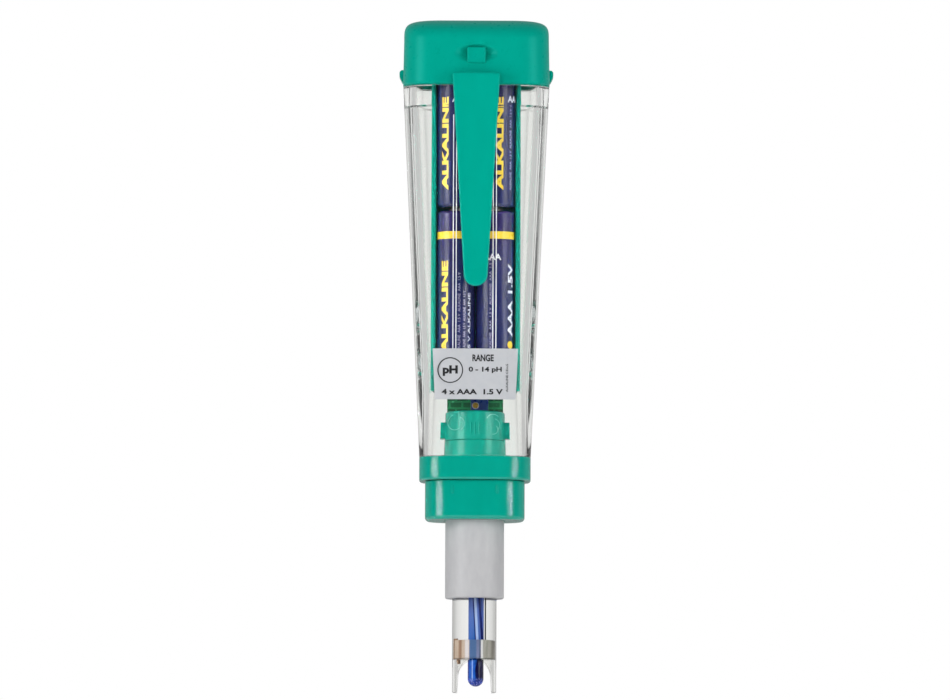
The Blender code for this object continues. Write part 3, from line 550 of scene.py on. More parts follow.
class Look(Nodes):
    """A Principled material built up in the object's own coordinates."""

    def __init__(self, name, roughness=0.4, metallic=0.0, **sockets):
        self.material = bpy.data.materials.new(name)
        self.material.use_nodes = True
        super().__init__(self.material.node_tree)
        self.shader = self.tree.nodes["Principled BSDF"]
        for socket, value in {"Roughness": roughness, "Metallic": metallic, **sockets}.items():
            self.shader.inputs[socket.replace("_", " ")].default_value = value
        self.coordinates = self.node("TexCoord")
        looks[name] = self.material

    def noise(self, scale, detail=3.0, stretch=(1, 1, 1)):
        """Noise from 0 to 1 with features about one over scale metres across."""
        mapping = self.node("Mapping", {"Vector": self.coordinates.outputs["Object"], "Scale": stretch})
        return self.node("TexNoise", {"Vector": mapping.outputs[0], "Scale": scale, "Detail": detail,
                                      "Roughness": 0.55}).outputs[0]

    def blend(self, share, first, second):
        """A colour between two colours or sockets."""
        made = self.node("Mix", {0: share}, data_type="RGBA")
        for socket, value in ((6, first), (7, second)):
            self.feed(made.inputs[socket], linear(value) if isinstance(value, tuple) else value)
        return made.outputs[2]

    def clouds(self, noise, first, second):
        """Two colours in soft clouds."""
        return self.blend(self.levels(noise, 0, 1), first, second)

    def axis(self, letter):
        """One object coordinate, in metres."""
        return self.node("SeparateXYZ", {"Vector": self.coordinates.outputs["Object"]}).outputs[letter]

    def stripes(self, colour, across, rows, edge=0.12):
        """Upright stripes over a colour, from rows of centre, half width and the stripe's colour."""
        for centre, half, shade in rows:
            if not isinstance(centre, bpy.types.NodeSocket):
                centre = centre * MM
            off = self.maths("ABSOLUTE", self.maths("SUBTRACT", across, centre))
            inside = self.levels(off, 1, 0, half * MM - edge * MM / 2, half * MM + edge * MM / 2)
            colour = self.blend(inside, colour, shade)
        return colour

    def paint(self, socket, value):
        self.tree.links.new(value, self.shader.inputs[socket])

    def bump(self, height, depth):
        """Fine relief, depth millimetres deep."""
        made = self.node("Bump", {"Height": height, "Distance": depth * MM, "Strength": 1.0})
        self.paint("Normal", made.outputs[0])

    def finish(self, colour, gloss, roughness, relief, depth):
        """Paint the colour, a range of roughness spread by gloss, and relief of a depth."""
        self.paint("Base Color", colour)
        self.paint("Roughness", self.levels(gloss, *roughness))
        self.bump(relief, depth)


def moulded(name, colour, second, roughness, grain=350.0, relief=0.0015, **sockets):
    """Moulded plastic: two close colours in soft clouds, uneven gloss and fine relief."""
    look = Look(name, **sockets)
    clouds = look.clouds(look.noise(grain, stretch=(1, 1, 0.4)), colour, second)
    look.finish(clouds, look.noise(grain * 2.3), roughness, look.noise(2600.0, 2.0), relief)


def metal(name, colour, second):
    """Drawn or stamped metal with fine lines across one direction."""
    look = Look(name, metallic=1.0)
    lines = look.noise(900.0, stretch=(1, 1, 12))
    look.finish(look.clouds(lines, colour, second), lines, (0.22, 0.38), lines, 0.006)


def clear(name, tint, ior):
    """Clear moulded plastic or glass with a faint unevenness."""
    look = Look(name, Transmission_Weight=1.0, IOR=ior, Base_Color=linear(tint))
    look.paint("Roughness", look.levels(look.noise(420.0), 0.0, 0.03))
    look.bump(look.noise(240.0, 1.0), 0.002)


def film(name, colour, second, roughness=(0.35, 0.5), weave=1800.0):
    """Printed plastic film with a fine satin grain."""
    look = Look(name)
    cells = look.node("TexVoronoi", {"Vector": look.coordinates.outputs["Object"], "Scale": weave})
    look.finish(look.clouds(look.noise(420.0), colour, second), look.noise(900.0), roughness,
                cells.outputs["Distance"], 0.006)


def cell_wrap():
    """Printed shrink wrap: dark navy that turns violet towards the top, with a lacquer coat."""
    look = Look("printed_cell_wrap", Specular_IOR_Level=0.3, Coat_Weight=1.0, Coat_IOR=1.6,
                Coat_Roughness=0.13)
    height = look.node("SeparateXYZ", {"Vector": look.coordinates.outputs["Generated"]}).outputs["Z"]
    navy = look.clouds(look.noise(260.0, stretch=(1, 1, 0.35)), NAVY, (24, 32, 84))
    look.finish(look.blend(look.levels(height, 0, 0.8, 0.55, 1.0), navy, VIOLET), look.noise(700.0),
                (0.13, 0.2), look.noise(1500.0, 2.0, (1, 1, 0.2)), 0.003)


def board_lacquer():
    """Green solder mask over copper tracks."""
    look = Look("solder_mask", Coat_Weight=0.3, Coat_Roughness=0.15)
    mapping = look.node("Mapping", {"Vector": look.coordinates.outputs["Object"],
                                    "Rotation": (QUARTER, 0, 0)})
    tracks = look.node("TexBrick", {"Vector": mapping.outputs[0], "Scale": 260.0, "Mortar Size": 0.07,
                                    "Mortar Smooth": 0.1, "Brick Width": 0.9, "Row Height": 0.45,
                                    "Color1": linear((10, 96, 60)), "Color2": linear((8, 86, 54)),
                                    "Mortar": linear((40, 140, 88))})
    look.finish(tracks.outputs["Color"], look.noise(600.0), (0.3, 0.45), tracks.outputs["Fac"], 0.03)


def ceramic_seal():
    """Cast sealing compound: tan, then grey, with clear gaps round the blue stem that shows through."""
    look = Look("cast_seal", Specular_IOR_Level=0.3)
    streaks = look.noise(1100.0, stretch=(1, 1, 0.12))
    across = look.axis("X")
    tan = look.clouds(streaks, (178, 156, 136), (206, 190, 172))
    grey = look.clouds(streaks, (140, 140, 130), (164, 162, 154))
    side = look.levels(across, 0, 1, -1.0 * MM, 0.5 * MM)
    colour = look.stripes(look.blend(side, tan, grey), across, (
        (-3.6, 0.36, (146, 114, 92)),
        (-1.9, 0.5, (214, 208, 208)),
        (0.25, 1.55, (72, 102, 146)),
        (1.0, 0.45, (106, 114, 146)),
        (1.6, 0.13, (38, 48, 80)),
        (2.0, 0.26, (206, 206, 206)),
        (4.6, 0.3, (120, 116, 108)),
    ), 0.3)
    look.finish(colour, streaks, (0.3, 0.5), streaks, 0.03)


def gel_stem():
    """Glass stem full of blue gel, with two dark leads and a pale reflection winding down it."""
    look = Look("gel_filled_stem", Specular_IOR_Level=0.1)
    fall = look.levels(look.axis("Z"), 1, 0, -33.0 * MM, -19.0 * MM)
    clouds = look.noise(500.0, stretch=(1, 1, 0.2))
    upper = look.clouds(clouds, (92, 112, 186), (112, 128, 196))
    lower = look.clouds(clouds, (36, 92, 170), (52, 102, 182))
    rows = []
    for start, end, half, shade in (      # where it runs at the top and bottom, half width, colour
        (0.75, 1.45, 0.5, (70, 92, 168)),
        (-0.35, 0.35, 0.3, (164, 186, 222)),
        (-0.8, -0.1, 0.14, (10, 30, 96)),
        (0.64, 1.5, 0.26, (8, 22, 88)),
    ):
        run = look.levels(fall, (STEM_X + start) * MM, (STEM_X + end) * MM, 0.0, 1.0)
        rows.append((run, half, shade))
    colour = look.stripes(look.blend(fall, upper, lower), look.axis("X"), rows)
    look.finish(colour, clouds, (0.2, 0.3), clouds, 0.01)


def gel_bulb():
    """Glass bulb: blue with a painted pale glint and a painted shaded edge on one side, painted shade on
    the other for the dark surroundings seen through the glass, and specks near its bottom.
    """
    look = Look("gel_filled_bulb", Coat_Weight=0.2, Coat_Roughness=0.03, Specular_IOR_Level=0.2)
    across = look.axis("X")
    ragged = look.noise(900.0, 4.0, (1, 1, 0.35))
    # painted shade: the right side is painted near black, with a ragged edge, for the dark surroundings
    # seen through the glass
    edge = look.levels(ragged, -0.7 * MM, 1.3 * MM, 0.0, 1.0)
    dark = look.levels(look.maths("SUBTRACT", across, edge), 0, 1, 0.1 * MM, 0.35 * MM)
    blue = look.clouds(look.noise(700.0), (20, 74, 168), (36, 92, 186))
    # painted highlight near the middle and painted shade along the left edge
    painted_glint_and_edge_shade = ((-0.5, 0.09, (150, 184, 228)), (-1.55, 0.22, (14, 40, 120)))
    colour = look.blend(dark, look.stripes(blue, across, painted_glint_and_edge_shade, 0.2), (12, 10, 48))
    low = look.levels(look.axis("Z"), 1, 0, -44.0 * MM, -42.6 * MM)
    specks = look.levels(look.noise(2200.0, 3.0), 0, 1, 0.5, 0.58)
    deep = look.blend(specks, (26, 52, 140), (120, 128, 206))
    look.finish(look.blend(low, colour, deep), ragged, (0.12, 0.22), ragged, 0.02)


def make_looks():
    dull = {"Specular_IOR_Level": 0.3, "Specular_Tint": TEAL_SHINE}
    gloss = {"Specular_IOR_Level": 0.7}
    for name, colour, second, roughness, others in (
        ("cap_plastic", TEAL, TEAL_DEEP, (0.26, 0.34), dull),
        ("clip_plastic", (0, 168, 148), (0, 165, 145), (0.16, 0.24), {"Specular_Tint": TEAL_SHINE}),
        ("collar_plastic", TEAL, TEAL_DEEP, (0.13, 0.18), gloss),
        ("block_plastic", TEAL, TEAL_DEEP, (0.1, 0.15), gloss),
        ("socket_plastic", (0, 142, 124), (0, 136, 118), (0.16, 0.2),
         {**gloss, "Specular_Tint": PALE_SHINE}),
        ("carrier_plastic", (4, 142, 123), (0, 128, 110), (0.28, 0.4), dull),
        ("display_frame_plastic", (8, 150, 132), (4, 138, 120), (0.3, 0.42), {}),
        ("sleeve_plastic", (196, 196, 198), (188, 188, 191), (0.36, 0.46), {"grain": 500.0}),
        ("switch_plastic", (34, 34, 36), (46, 46, 48), (0.4, 0.55), {}),
        ("chip_epoxy", (26, 26, 28), (38, 38, 40), (0.45, 0.6), {"relief": 0.01}),
        ("holder_plastic", (46, 48, 50), (36, 38, 40), (0.4, 0.55), {}),
        ("seal_rubber", (34, 36, 38), (44, 46, 48), (0.6, 0.75), {"relief": 0.01}),
        ("zebra_strip_rubber", (224, 176, 176), (206, 158, 160), (0.6, 0.75), {}),
        ("key_rubber", (172, 176, 177), (160, 164, 166), (0.5, 0.62), {"relief": 0.012}),
        # near white: painted highlight that stands for the lamps' glint on the ribs' edges
        ("rib_painted_highlight", (248, 249, 252), (238, 240, 246), (0.3, 0.4), {}),
        ("legend_ink", (24, 26, 30), (38, 40, 44), (0.45, 0.6), {}),
        ("white_ink", (236, 238, 244), (214, 216, 228), (0.3, 0.4), {}),
        ("faint_white_ink", (168, 166, 196), (136, 134, 170), (0.3, 0.4), {}),
        ("yellow_ink", YELLOW, (226, 190, 44), (0.25, 0.36), {}),
        ("display_segment", (22, 26, 26), (32, 38, 36), (0.25, 0.35), {}),
        # pale teal: painted glint on curls of clear sealant
        ("sealant_painted_glint", (96, 206, 188), (150, 222, 210), (0.1, 0.2), {}),
        ("trimmer_case", (18, 48, 112), (14, 40, 96), (0.25, 0.35), {}),
        ("buffer_gel", (44, 96, 196), (30, 72, 160), (0.1, 0.2), {}),
        ("dark_wire", (14, 20, 74), (22, 30, 96), (0.25, 0.35), {}),
        ("junction_ceramic", (150, 122, 98), (132, 104, 82), (0.6, 0.8), {"relief": 0.03}),
        ("chip_resistor", (58, 52, 48), (30, 30, 32), (0.35, 0.5), {}),
        ("chip_capacitor", (176, 140, 98), (158, 122, 84), (0.45, 0.6), {}),
    ):
        moulded(name, colour, second, roughness, **others)
    metal("nickel_plate", (206, 204, 198), (176, 174, 170))
    # darker than nickel: painted shade for the dark gap where the cells meet
    metal("can_end_painted_shade", (124, 122, 120), (100, 98, 98))
    metal("zinc_plate", (196, 198, 202), (168, 170, 176))
    metal("brass_screw", (218, 180, 98), (192, 152, 74))
    metal("gold_plate", (232, 192, 104), (214, 172, 88))
    clear("clear_body_plastic", (251, 252, 250), 1.49)
    clear("clear_tube_plastic", (243, 243, 241), 1.2)
    film("label_film", (200, 202, 206), (194, 197, 202))
    film("panel_film", (0, 152, 134), (0, 144, 127))
    film("display_glass", (156, 166, 148), (148, 158, 140), (0.1, 0.16), 5200.0)
    cell_wrap()
    board_lacquer()
    ceramic_seal()
    gel_stem()
    gel_bulb()


# Shapes that others follow

def shell_section(z):
    """Outer section of the clear body at height z."""
    low = heights("body_shell")[0]
    return mix(SHELL_FOOT, SHELL_HEAD, (z - low) / (SHELL_HEAD_Z - low))


def face_y(z):
    """Distance of the body's flat front or back face from the axis at height z."""
    return shell_section(z)[1] / 2


def cavity_section(z):
    return mix(CAVITY_FOOT, CAVITY_HEAD, (z - KNEE_Z) / (STEP_Z - KNEE_Z))


def key_holes(near, far):
    """Cutters for the three key holes, between two distances from the axis."""
    return [along_y(rod(KEY_HOLE_RADIUS, near, far), x, z) for x, z in KEY_PLACES.values()]


# Body

def body_shell():
    foot_z = heights("body_shell")[0]
    head_z = SHELL_HEAD_Z
    edge = 0.35
    step_slope = 0.25
    between = [foot_z + (head_z - foot_z) * share for share in (0.25, 0.5, 0.75)]
    rings = rounding(SHELL_FOOT, foot_z, edge)
    rings += [outline(shell_section(z), z) for z in between]
    rings += rounding(SHELL_HEAD, head_z, edge, True)
    rings += stack((NECK_OUTER, head_z), (NECK_OUTER, NECK_TOP_Z - edge),
                   (grown(NECK_OUTER, -edge), NECK_TOP_Z), (grown(BORE, edge), NECK_TOP_Z),
                   (BORE, NECK_TOP_Z - edge), (BORE, STEP_Z + step_slope),
                   (CAVITY_HEAD, STEP_Z - step_slope), (CAVITY_FOOT, KNEE_Z), (CAVITY_MOUTH, foot_z))
    shell = cut(loft(rings, closed=True), *key_holes(8.0, 16.0))
    piece("clear_body", [(shell, "clear_body_plastic")], "housing", ["body_shell"],
          sharp=25.0, clear=True)


def guide_ribs():
    """Fine ribs that run down inside the back wall, over the cells; their near-white colour is a painted
    highlight, the lamps' glint on their edges.
    """
    width, height = RIB_SIZE
    ribs = []
    for left in [x - width / 2 for x in RIB_X]:
        rings = []
        for z in RIB_Z:
            back = FACE_GAP / 4 - cavity_section(z)[1] / 2
            rings.append([(left, back, z), (left + width, back, z), (left + width, back + height, z),
                          (left, back + height, z)])
        ribs.append(loft(rings))
    piece("guide_ribs", [(joined(ribs), "rib_painted_highlight")], "housing")


def bottom_collar():
    low, top = heights("bottom_collar")
    high = COLLAR_TOP_Z
    collar = loft(rounding(COLLAR_PLAN, low, 0.7) + rounding(COLLAR_PLAN, high, 0.15, True))
    collar = cut(collar, rod(BORE_RADIUS, low - 1, top + 1))
    boss = turned(((BORE_RADIUS, high), (NECK_RADIUS + 0.9, high), (NECK_RADIUS, high + 0.7, 0.4),
                   (NECK_RADIUS, top, 0.12), (BORE_RADIUS, top)), closed=True)
    piece("collar", [(collar, "collar_plastic"), (boss, "socket_plastic")], "housing",
          ["bottom_collar"])


def connector_socket():
    low, high = heights("connector_socket")
    roof = SOCKET_ROOF_Z
    back = -NECK_RADIUS
    socket = turned(((0.0, roof), (BORE_RADIUS, roof, 0.3), (BORE_RADIUS, low),
                     (NECK_RADIUS, low, 0.12), (NECK_RADIUS, high, 0.6), (0.0, high)))
    tabs = both_sides((NECK_RADIUS - 0.7, -1.8, 22.6), (NECK_RADIUS + 1.4, 1.8, 27.0), 0.2)
    marks = [block((x - 0.16, back - 0.12, 23.4), (x + 0.16, back + 0.5, 26.6), 0.1)
             for x in (-1.1, 0.0, 1.1)]
    piece("socket", [(fused(socket, *tabs, *marks), "socket_plastic")], "housing",
          ["connector_socket"])


def sealant():
    """Thin curls of clear sealant round the socket, on its back, coloured pale as a painted glint of
    light on them.
    """
    steps = 24
    curls = []
    for x, z, size, start, turn in SEALANT_CURLS:
        points = []
        for step, angle in enumerate(spaced(steps, radians(turn), radians(start))):
            reach = size * (1 - 0.3 * step / steps)
            across = x + reach * cos(angle)
            points.append((across, -sqrt((NECK_RADIUS + 0.1) ** 2 - across ** 2),
                           z + reach * sin(angle)))
        curls.append(wire(points, SEALANT_RADIUS, (0, 1, 0), 8))
    piece("sealant", [(joined(curls), "sealant_painted_glint")], "housing")


def battery_carrier():
    (_, end_back, low), (_, _, high) = box_mm("battery_carrier")
    tips, floor_back, floor_front = CARRIER_Y
    outer = CARRIER_HALF_WIDTH
    inner = outer - CARRIER_WALL
    plan = eased(((-outer, tips, 0.6), (-inner, tips, 0.5), (-inner, floor_back, 0.9),
                  (inner, floor_back, 0.9), (inner, tips, 0.5), (outer, tips, 0.6),
                  (outer, floor_front, 0.7), (-outer, floor_front, 0.7)))
    channel = loft([[(x, y, z) for x, y in plan] for z in (low, high)])
    end_half = 10.7
    far = (floor_back + 0.5, low + 1.2)      # depth and height that the end plate reaches
    plate = block((-end_half, end_back, low), (end_half, *far), 0.15)
    webs = both_sides((end_half - 0.5, tips + 0.6, low), (outer - 0.5, *far))
    holes = [along_y(rod(1.2, 0.0, 3.0, steps=SMALL_STEPS), 0.0, z) for z in SCREW_Z]
    channel = cut(fused(channel, plate, *webs), *holes)
    piece("carrier", [(channel, "carrier_plastic")], "housing", ["battery_carrier"],
          soften=0.15)


# Cells

def cell_rules(x, base):
    """Rules that lay flat lettering on a cell's wrap: reading upwards, and reading across."""
    def wrapped(angle, off, z):
        reach = CELL_RADIUS + INK_LIFT + off
        return x + reach * sin(angle), CELL_Y - reach * cos(angle), base + z

    def upwards(right, start):
        edge = asin(right / CELL_RADIUS)
        return lambda along, up, off: wrapped(edge - up / CELL_RADIUS, off, start + along)

    def across(middle, start):
        centre = asin(middle / CELL_RADIUS)
        return lambda along, up, off: wrapped(centre + along / CELL_RADIUS, off, start + up)

    return upwards, across


def cell(place, x):
    node = "cell_" + place
    base = heights(node)[0]
    can = CELL_LENGTH - 1.0
    radius = CELL_RADIUS
    centre = (x, CELL_Y)
    wrap = turned(((4.35, 0.02), (4.75, 0.04, 0.1), (radius, 0.7, 0.45), (radius, can - 0.5, 0.35),
                   (4.7, can - 0.02, 0.2), (4.35, can - 0.06)), centre=centre)
    negative = turned(((0.0, 0.3), (3.0, 0.3, 0.2), (3.4, 0.0, 0.2), (4.3, 0.0), (4.3, 1.0), (0.0, 1.0)),
                      centre=centre)
    shoulder = turned(((2.0, can - 1.0), (4.3, can - 1.0), (4.3, can, 0.1), (2.3, can, 0.15),
                       (2.0, can + 0.1)), centre=centre, closed=True)
    positive = rod(1.95, can - 1.0, CELL_LENGTH, high_edge=0.35, centre=centre)
    parts = ((wrap, "printed_cell_wrap"), (negative, "can_end_painted_shade"), (shoulder, "switch_plastic"),
             (positive, "can_end_painted_shade"))
    parts = [(moved(mesh, (0, 0, base)), look) for mesh, look in parts]
    piece(node, parts, "housing", [node])

    upwards, across = cell_rules(x, base)
    low, high = CELL_RING_Z
    ring = turned(((radius - 0.1, low), (radius + PRINT_LIFT, low), (radius + PRINT_LIFT, high),
                   (radius - 0.1, high)), centre=centre, closed=True)
    printed = {"yellow": [moved(ring, (0, 0, base))], "white": [], "small": []}
    if place == "lower_right":
        disc = moved(rod(1.05, 0.0, PRINT_LIFT, steps=24), (1.6, 1.05, 0))
        printed["yellow"].append(placed(disc, upwards(4.65, 5.4)))
    for ink, words, height, length, weight, slices, reads_up, middle, start in CELL_PRINT[place]:
        mesh = letters(words, height, PRINT_LIFT, length, weight, slices)
        rule = upwards if reads_up else across
        printed[ink].append(placed(mesh, rule(middle, start)))
    for ink, meshes in printed.items():
        piece("print_%s_%s" % (ink, place), [(joined(meshes), INKS[ink])], "housing")


def negative_contacts():
    steps = 98
    first, last = SPRING_RADII
    for side, x in (("left", -CELL_X), ("right", CELL_X)):
        node = "negative_spring_" + side
        low, high = heights(node)
        points = []
        for step, angle in enumerate(spaced(steps, tau * SPRING_TURNS)):
            share = step / steps
            radius = first + (last - first) * share
            points.append((x + radius * cos(angle), CELL_Y + radius * sin(angle),
                           low + SPRING_WIRE + (high - low - 2 * SPRING_WIRE) * share))
        coil = wire(points, SPRING_WIRE, (0, 0, 1))
        piece(node + "_coil", [(coil, "nickel_plate")], "housing", [node])


# Electronics

def pcb_screws():
    y = PCB_FRONT_Y + FACE_GAP
    for name, z in zip(("lower", "upper"), SCREW_Z):
        screw = turned(((0.0, 0.3), (0.5, 0.3), (0.9, 0.8), (0.9, y), (1.8, y), (1.8, y + 0.7, 0.2),
                        (1.1, y + 1.1, 0.4), (0.0, y + 1.1)), 40)
        slots = [block((-across, y + 0.5, z - along), (across, y + 2.0, z + along))
                 for across, along in ((1.25, 0.2), (0.2, 1.25))]
        node = "pcb_screw_" + name
        piece(node + "_head", [(cut(along_y(screw, 0.0, z), *slots), "zinc_plate")], "housing",
              [node])


def display():
    low, high = box_mm("lcd_glass")
    front = high.y
    piece("display_cell", [(block(low, high, 0.2), "display_glass")], "housing", ["lcd_glass"])

    low_frame, high_frame = box_mm("lcd_frame")
    pocket = block((low.x - 0.2, low_frame.y - 1, low.z - 0.2),
                   (high.x + 0.2, front + 0.15, high.z + 0.2))
    view = block((low.x + 1.3, front - 1, low.z + 2.0),
                 (high.x - 1.3, high_frame.y + 1, high.z - 2.0))
    bezel = cut(block(low_frame, high_frame, 0.35), pocket, view)
    piece("display_frame", [(bezel, "display_frame_plastic")], "housing", ["lcd_frame"],
          soften=0.12)

    width, height, thin = 4.1, 8.6, 0.425    # a digit's size and half a stroke's width
    base_z = (low.z + high.z - height) / 2
    tall = height / 4 - thin - 0.06
    wide = width / 2 - thin - 0.12
    strokes = (                              # centre and half size, clockwise from the top
        (width / 2, height - thin, wide, thin),
        (width - thin, height * 0.75, thin, tall),
        (width - thin, height * 0.25, thin, tall),
        (width / 2, thin, wide, thin),
        (thin, height * 0.25, thin, tall),
        (thin, height * 0.75, thin, tall),
    )
    bars = [(1.25, 0.42, 0.42, 0.42)]        # the decimal point
    for count, left in ((3, -5.9), (6, -0.7), (6, 3.9)):     # 7.00, with its strokes counted
        bars += [(-(left + x), z, half_x, half_z) for x, z, half_x, half_z in strokes[:count]]
    ink = [block((x - half_x, front - 0.05, base_z + z - half_z),
                 (x + half_x, front + 0.04, base_z + z + half_z)) for x, z, half_x, half_z in bars]
    ink.append(placed(letters("pH", 1.9, 0.09, None, 0.01),
                      lambda along, up, off: (8.6 - along, front - 0.05 + off, base_z + 6.6 + up)))
    piece("display_digits", [(joined(ink), "display_segment")], "housing")


def board_parts():
    """Small surface-mounted parts in rows on the board's front, beside the keys and the chips."""
    base = PCB_FRONT_Y + 0.02
    resistors, capacitors, ends = [], [], []
    for index in range(18):
        x = (-10.4, 10.4, -9.2, 9.2)[index % 4]
        z = 41.5 + 1.72 * index
        group, top = (resistors, base + 0.55) if index % 3 else (capacitors, base + 0.8)
        group.append(block((x - 0.4, base, z - 0.55), (x + 0.4, top, z + 0.55), 0.06))
        for end in (z - 0.72, z + 0.72):
            ends.append(block((x - 0.42, base, end - 0.17), (x + 0.42, top + 0.02, end + 0.17), 0.05))
    for node, count in (("mcu_chip", 8), ("amplifier_chip", 4)):
        low, high = box_mm(node)
        for index in range(count):
            z = low.z + (high.z - low.z) * (index + 0.5) / count
            for near, far in ((low.x - 0.75, low.x - 0.02), (high.x + 0.02, high.x + 0.75)):
                ends.append(block((near, base, z - 0.16), (far, base + 0.3, z + 0.16), 0.04))
    parts = [(joined(resistors), "chip_resistor"), (joined(capacitors), "chip_capacitor"),
             (joined(ends), "zinc_plate")]
    piece("board_small_parts", parts, "housing")


def trimmer():
    low, high = box_mm("trimmer_body")
    x, z = TRIMMER_PLACE
    rim = along_y(rod(1.0, low.y - 0.02, low.y + 0.5, 0.1, steps=SMALL_STEPS), x, z)
    piece("trimmer_case", [(block(low, high, 0.25), "trimmer_case"), (rim, "faint_white_ink")], "housing",
          ["trimmer_body"])
    (_, front, _), (_, back, _) = box_mm("trimmer_screw")
    head = along_y(rod(0.8, front, back - 0.04, 0.2, steps=SMALL_STEPS), x, z)
    head = cut(head, block((x - 0.14, front - 1, z - 1.2), (x + 0.14, front + 0.35, z + 1.2)))
    piece("trimmer_head", [(head, "brass_screw")], "trimmer", ["trimmer_screw"])


# Front and back faces

def on_front(middle_x, z, lift):
    """Rule that lays lettering on the front face, read from the front."""
    return lambda along, up, off: (middle_x - along, face_y(z + up) + lift + off, z + up)


def on_back(left_x, z, lift):
    """Rule that lays lettering on the back face, read from the back."""
    return lambda along, up, off: (left_x + along, -(face_y(z + up) + lift + off), z + up)


def front_panel():
    low_z, high_z = PANEL_Z
    radius = PANEL_CORNER
    shape = []
    for turn, side_x, side_z, z in ((3, 1, 1, low_z), (0, 1, -1, high_z), (1, -1, -1, high_z),
                                    (2, -1, 1, low_z)):
        width, _, corner = shell_section(z)
        x = side_x * (width / 2 - corner - PANEL_MARGIN - radius)
        for angle in spaced(CORNER_STEPS, start=QUARTER * turn):
            shape.append((x + radius * cos(angle), z + side_z * radius + radius * sin(angle)))
    panel = loft([[(x, face_y(z) + lift, z) for x, z in shape]
                  for lift in (FACE_GAP, FACE_GAP + PANEL_THICKNESS)])
    half, low, high = WINDOW
    panel = cut(panel, block((-half, 10.0, low), (half, 18.0, high)), *key_holes(10.0, 18.0))
    piece("keypad_panel", [(panel, "panel_film")], "housing", ["front_panel"], soften=0.08)

    lift = FACE_GAP + PANEL_THICKNESS + INK_LIFT
    ink = []
    for words, middle, z, height in (("ON / OFF", 0.0, 39.9, 1.3), ("CAL", -4.7, 52.6, 1.3),
                                     ("HOLD", 4.7, 52.6, 1.3), ("pH", 0.0, 102.2, 4.2),
                                     ("0 - 14", 0.0, 99.0, 1.6)):
        mesh = letters(words, height, INK_DEPTH, None, 0.015)
        length = max(vert.co.x for vert in mesh.verts)
        ink.append(placed(mesh, on_front(middle + length / 2, z, lift)))
    trim, reach = PANEL_TRIM
    side = half + reach
    border = [block((-side, z, 0.0), (side, z + trim, INK_DEPTH))
              for z in (low - reach, high + reach - trim)]
    border += both_sides((side - trim, low - 0.5, 0.0), (side, high + 0.5, INK_DEPTH))
    ink += [placed(line, on_front(0.0, 0.0, lift)) for line in border]
    piece("panel_legends", [(joined(ink), "white_ink")], "housing")


def keys():
    for key, (x, z) in KEY_PLACES.items():
        node = "key_" + key
        (_, back, _), (_, face, _) = box_mm(node)
        top = cavity_section(z - KEY_FLANGE_RADIUS)[1] / 2 - 0.3
        cap = turned(((0.0, back), (1.5, back, 0.2), (1.5, top - 0.8),
                      (KEY_FLANGE_RADIUS, top - 0.8, 0.15), (KEY_FLANGE_RADIUS, top, 0.15),
                      (KEY_RADIUS, top), (KEY_RADIUS, face, 0.9), (2.2, face, 0.6),
                      (0.0, face - 0.22)))
        piece(node + "_cap", [(along_y(cap, x, z), "key_rubber")], key + "_key", [node])


def rear_label():
    low, high = LABEL_Z
    corner = 3 * (CORNER_STEPS + 1)
    round_steps = round(LABEL_CORNER_SHARE * CORNER_STEPS)
    arc = slice(corner - 1 - round_steps, corner + round_steps + 1)
    rings = []
    for z in spaced(12, high - low, low):
        outer, inner = (outline(grown(shell_section(z), lift), z)[arc]
                        for lift in (FACE_GAP + LABEL_THICKNESS, FACE_GAP))
        rings.append(outer + inner[::-1])
    piece("rating_label", [(loft(rings), "label_film")], "housing", ["rear_label"])

    lift = FACE_GAP + LABEL_THICKNESS + INK_LIFT
    ink = []
    for words, height, length, weight, x, z in (
        ("RANGE", 1.9, 5.8, 0.035, -0.8, 42.7),
        ("0 - 14 pH", 1.75, 9.0, 0.035, -1.8, 39.5),
        ("4 x AAA  1.5 V", 1.5, 16.6, 0.04, -9.1, 33.7),
        ("pH", 2.9, 4.1, 0.05, -8.85, 38.7),
    ):
        ink.append(placed(letters(words, height, INK_DEPTH, length, weight), on_back(x, z, lift)))
    ring = turned(((3.2, 0.0), (3.5, 0.0), (3.5, INK_DEPTH), (3.2, INK_DEPTH)), 60, closed=True)
    ink.append(placed(ring, on_back(-6.8, 40.3, lift)))
    side = letters("ALKALINE CELLS", 0.6, INK_DEPTH, 7.6, 0.01)
    ink.append(placed(side, lambda along, up, off: on_back(8.9, 34.4, lift)(-up, along, off)))
    piece("label_print", [(joined(ink), "legend_ink")], "housing")


# Battery cap and clip

def scooped(section, z):
    """Outer section of the cap, whose back sinks softly towards the middle of the scoop."""
    points = outline(section, z)
    back = 3 * (CORNER_STEPS + 1)      # the flat part of the back starts at this point
    half_width, half_height = SCOOP_HALF
    sunk = []
    for x in spaced(SCOOP_STEPS[0], 2 * half_width, -half_width):
        reach = (x / half_width) ** 2 + ((z - SCOOP_Z) / half_height) ** 2
        sunk.append((x, SCOOP_DEPTH * max(0.0, 1 - reach) ** 1.5 - section[1] / 2, z))
    return points[:back] + sunk + points[back:]


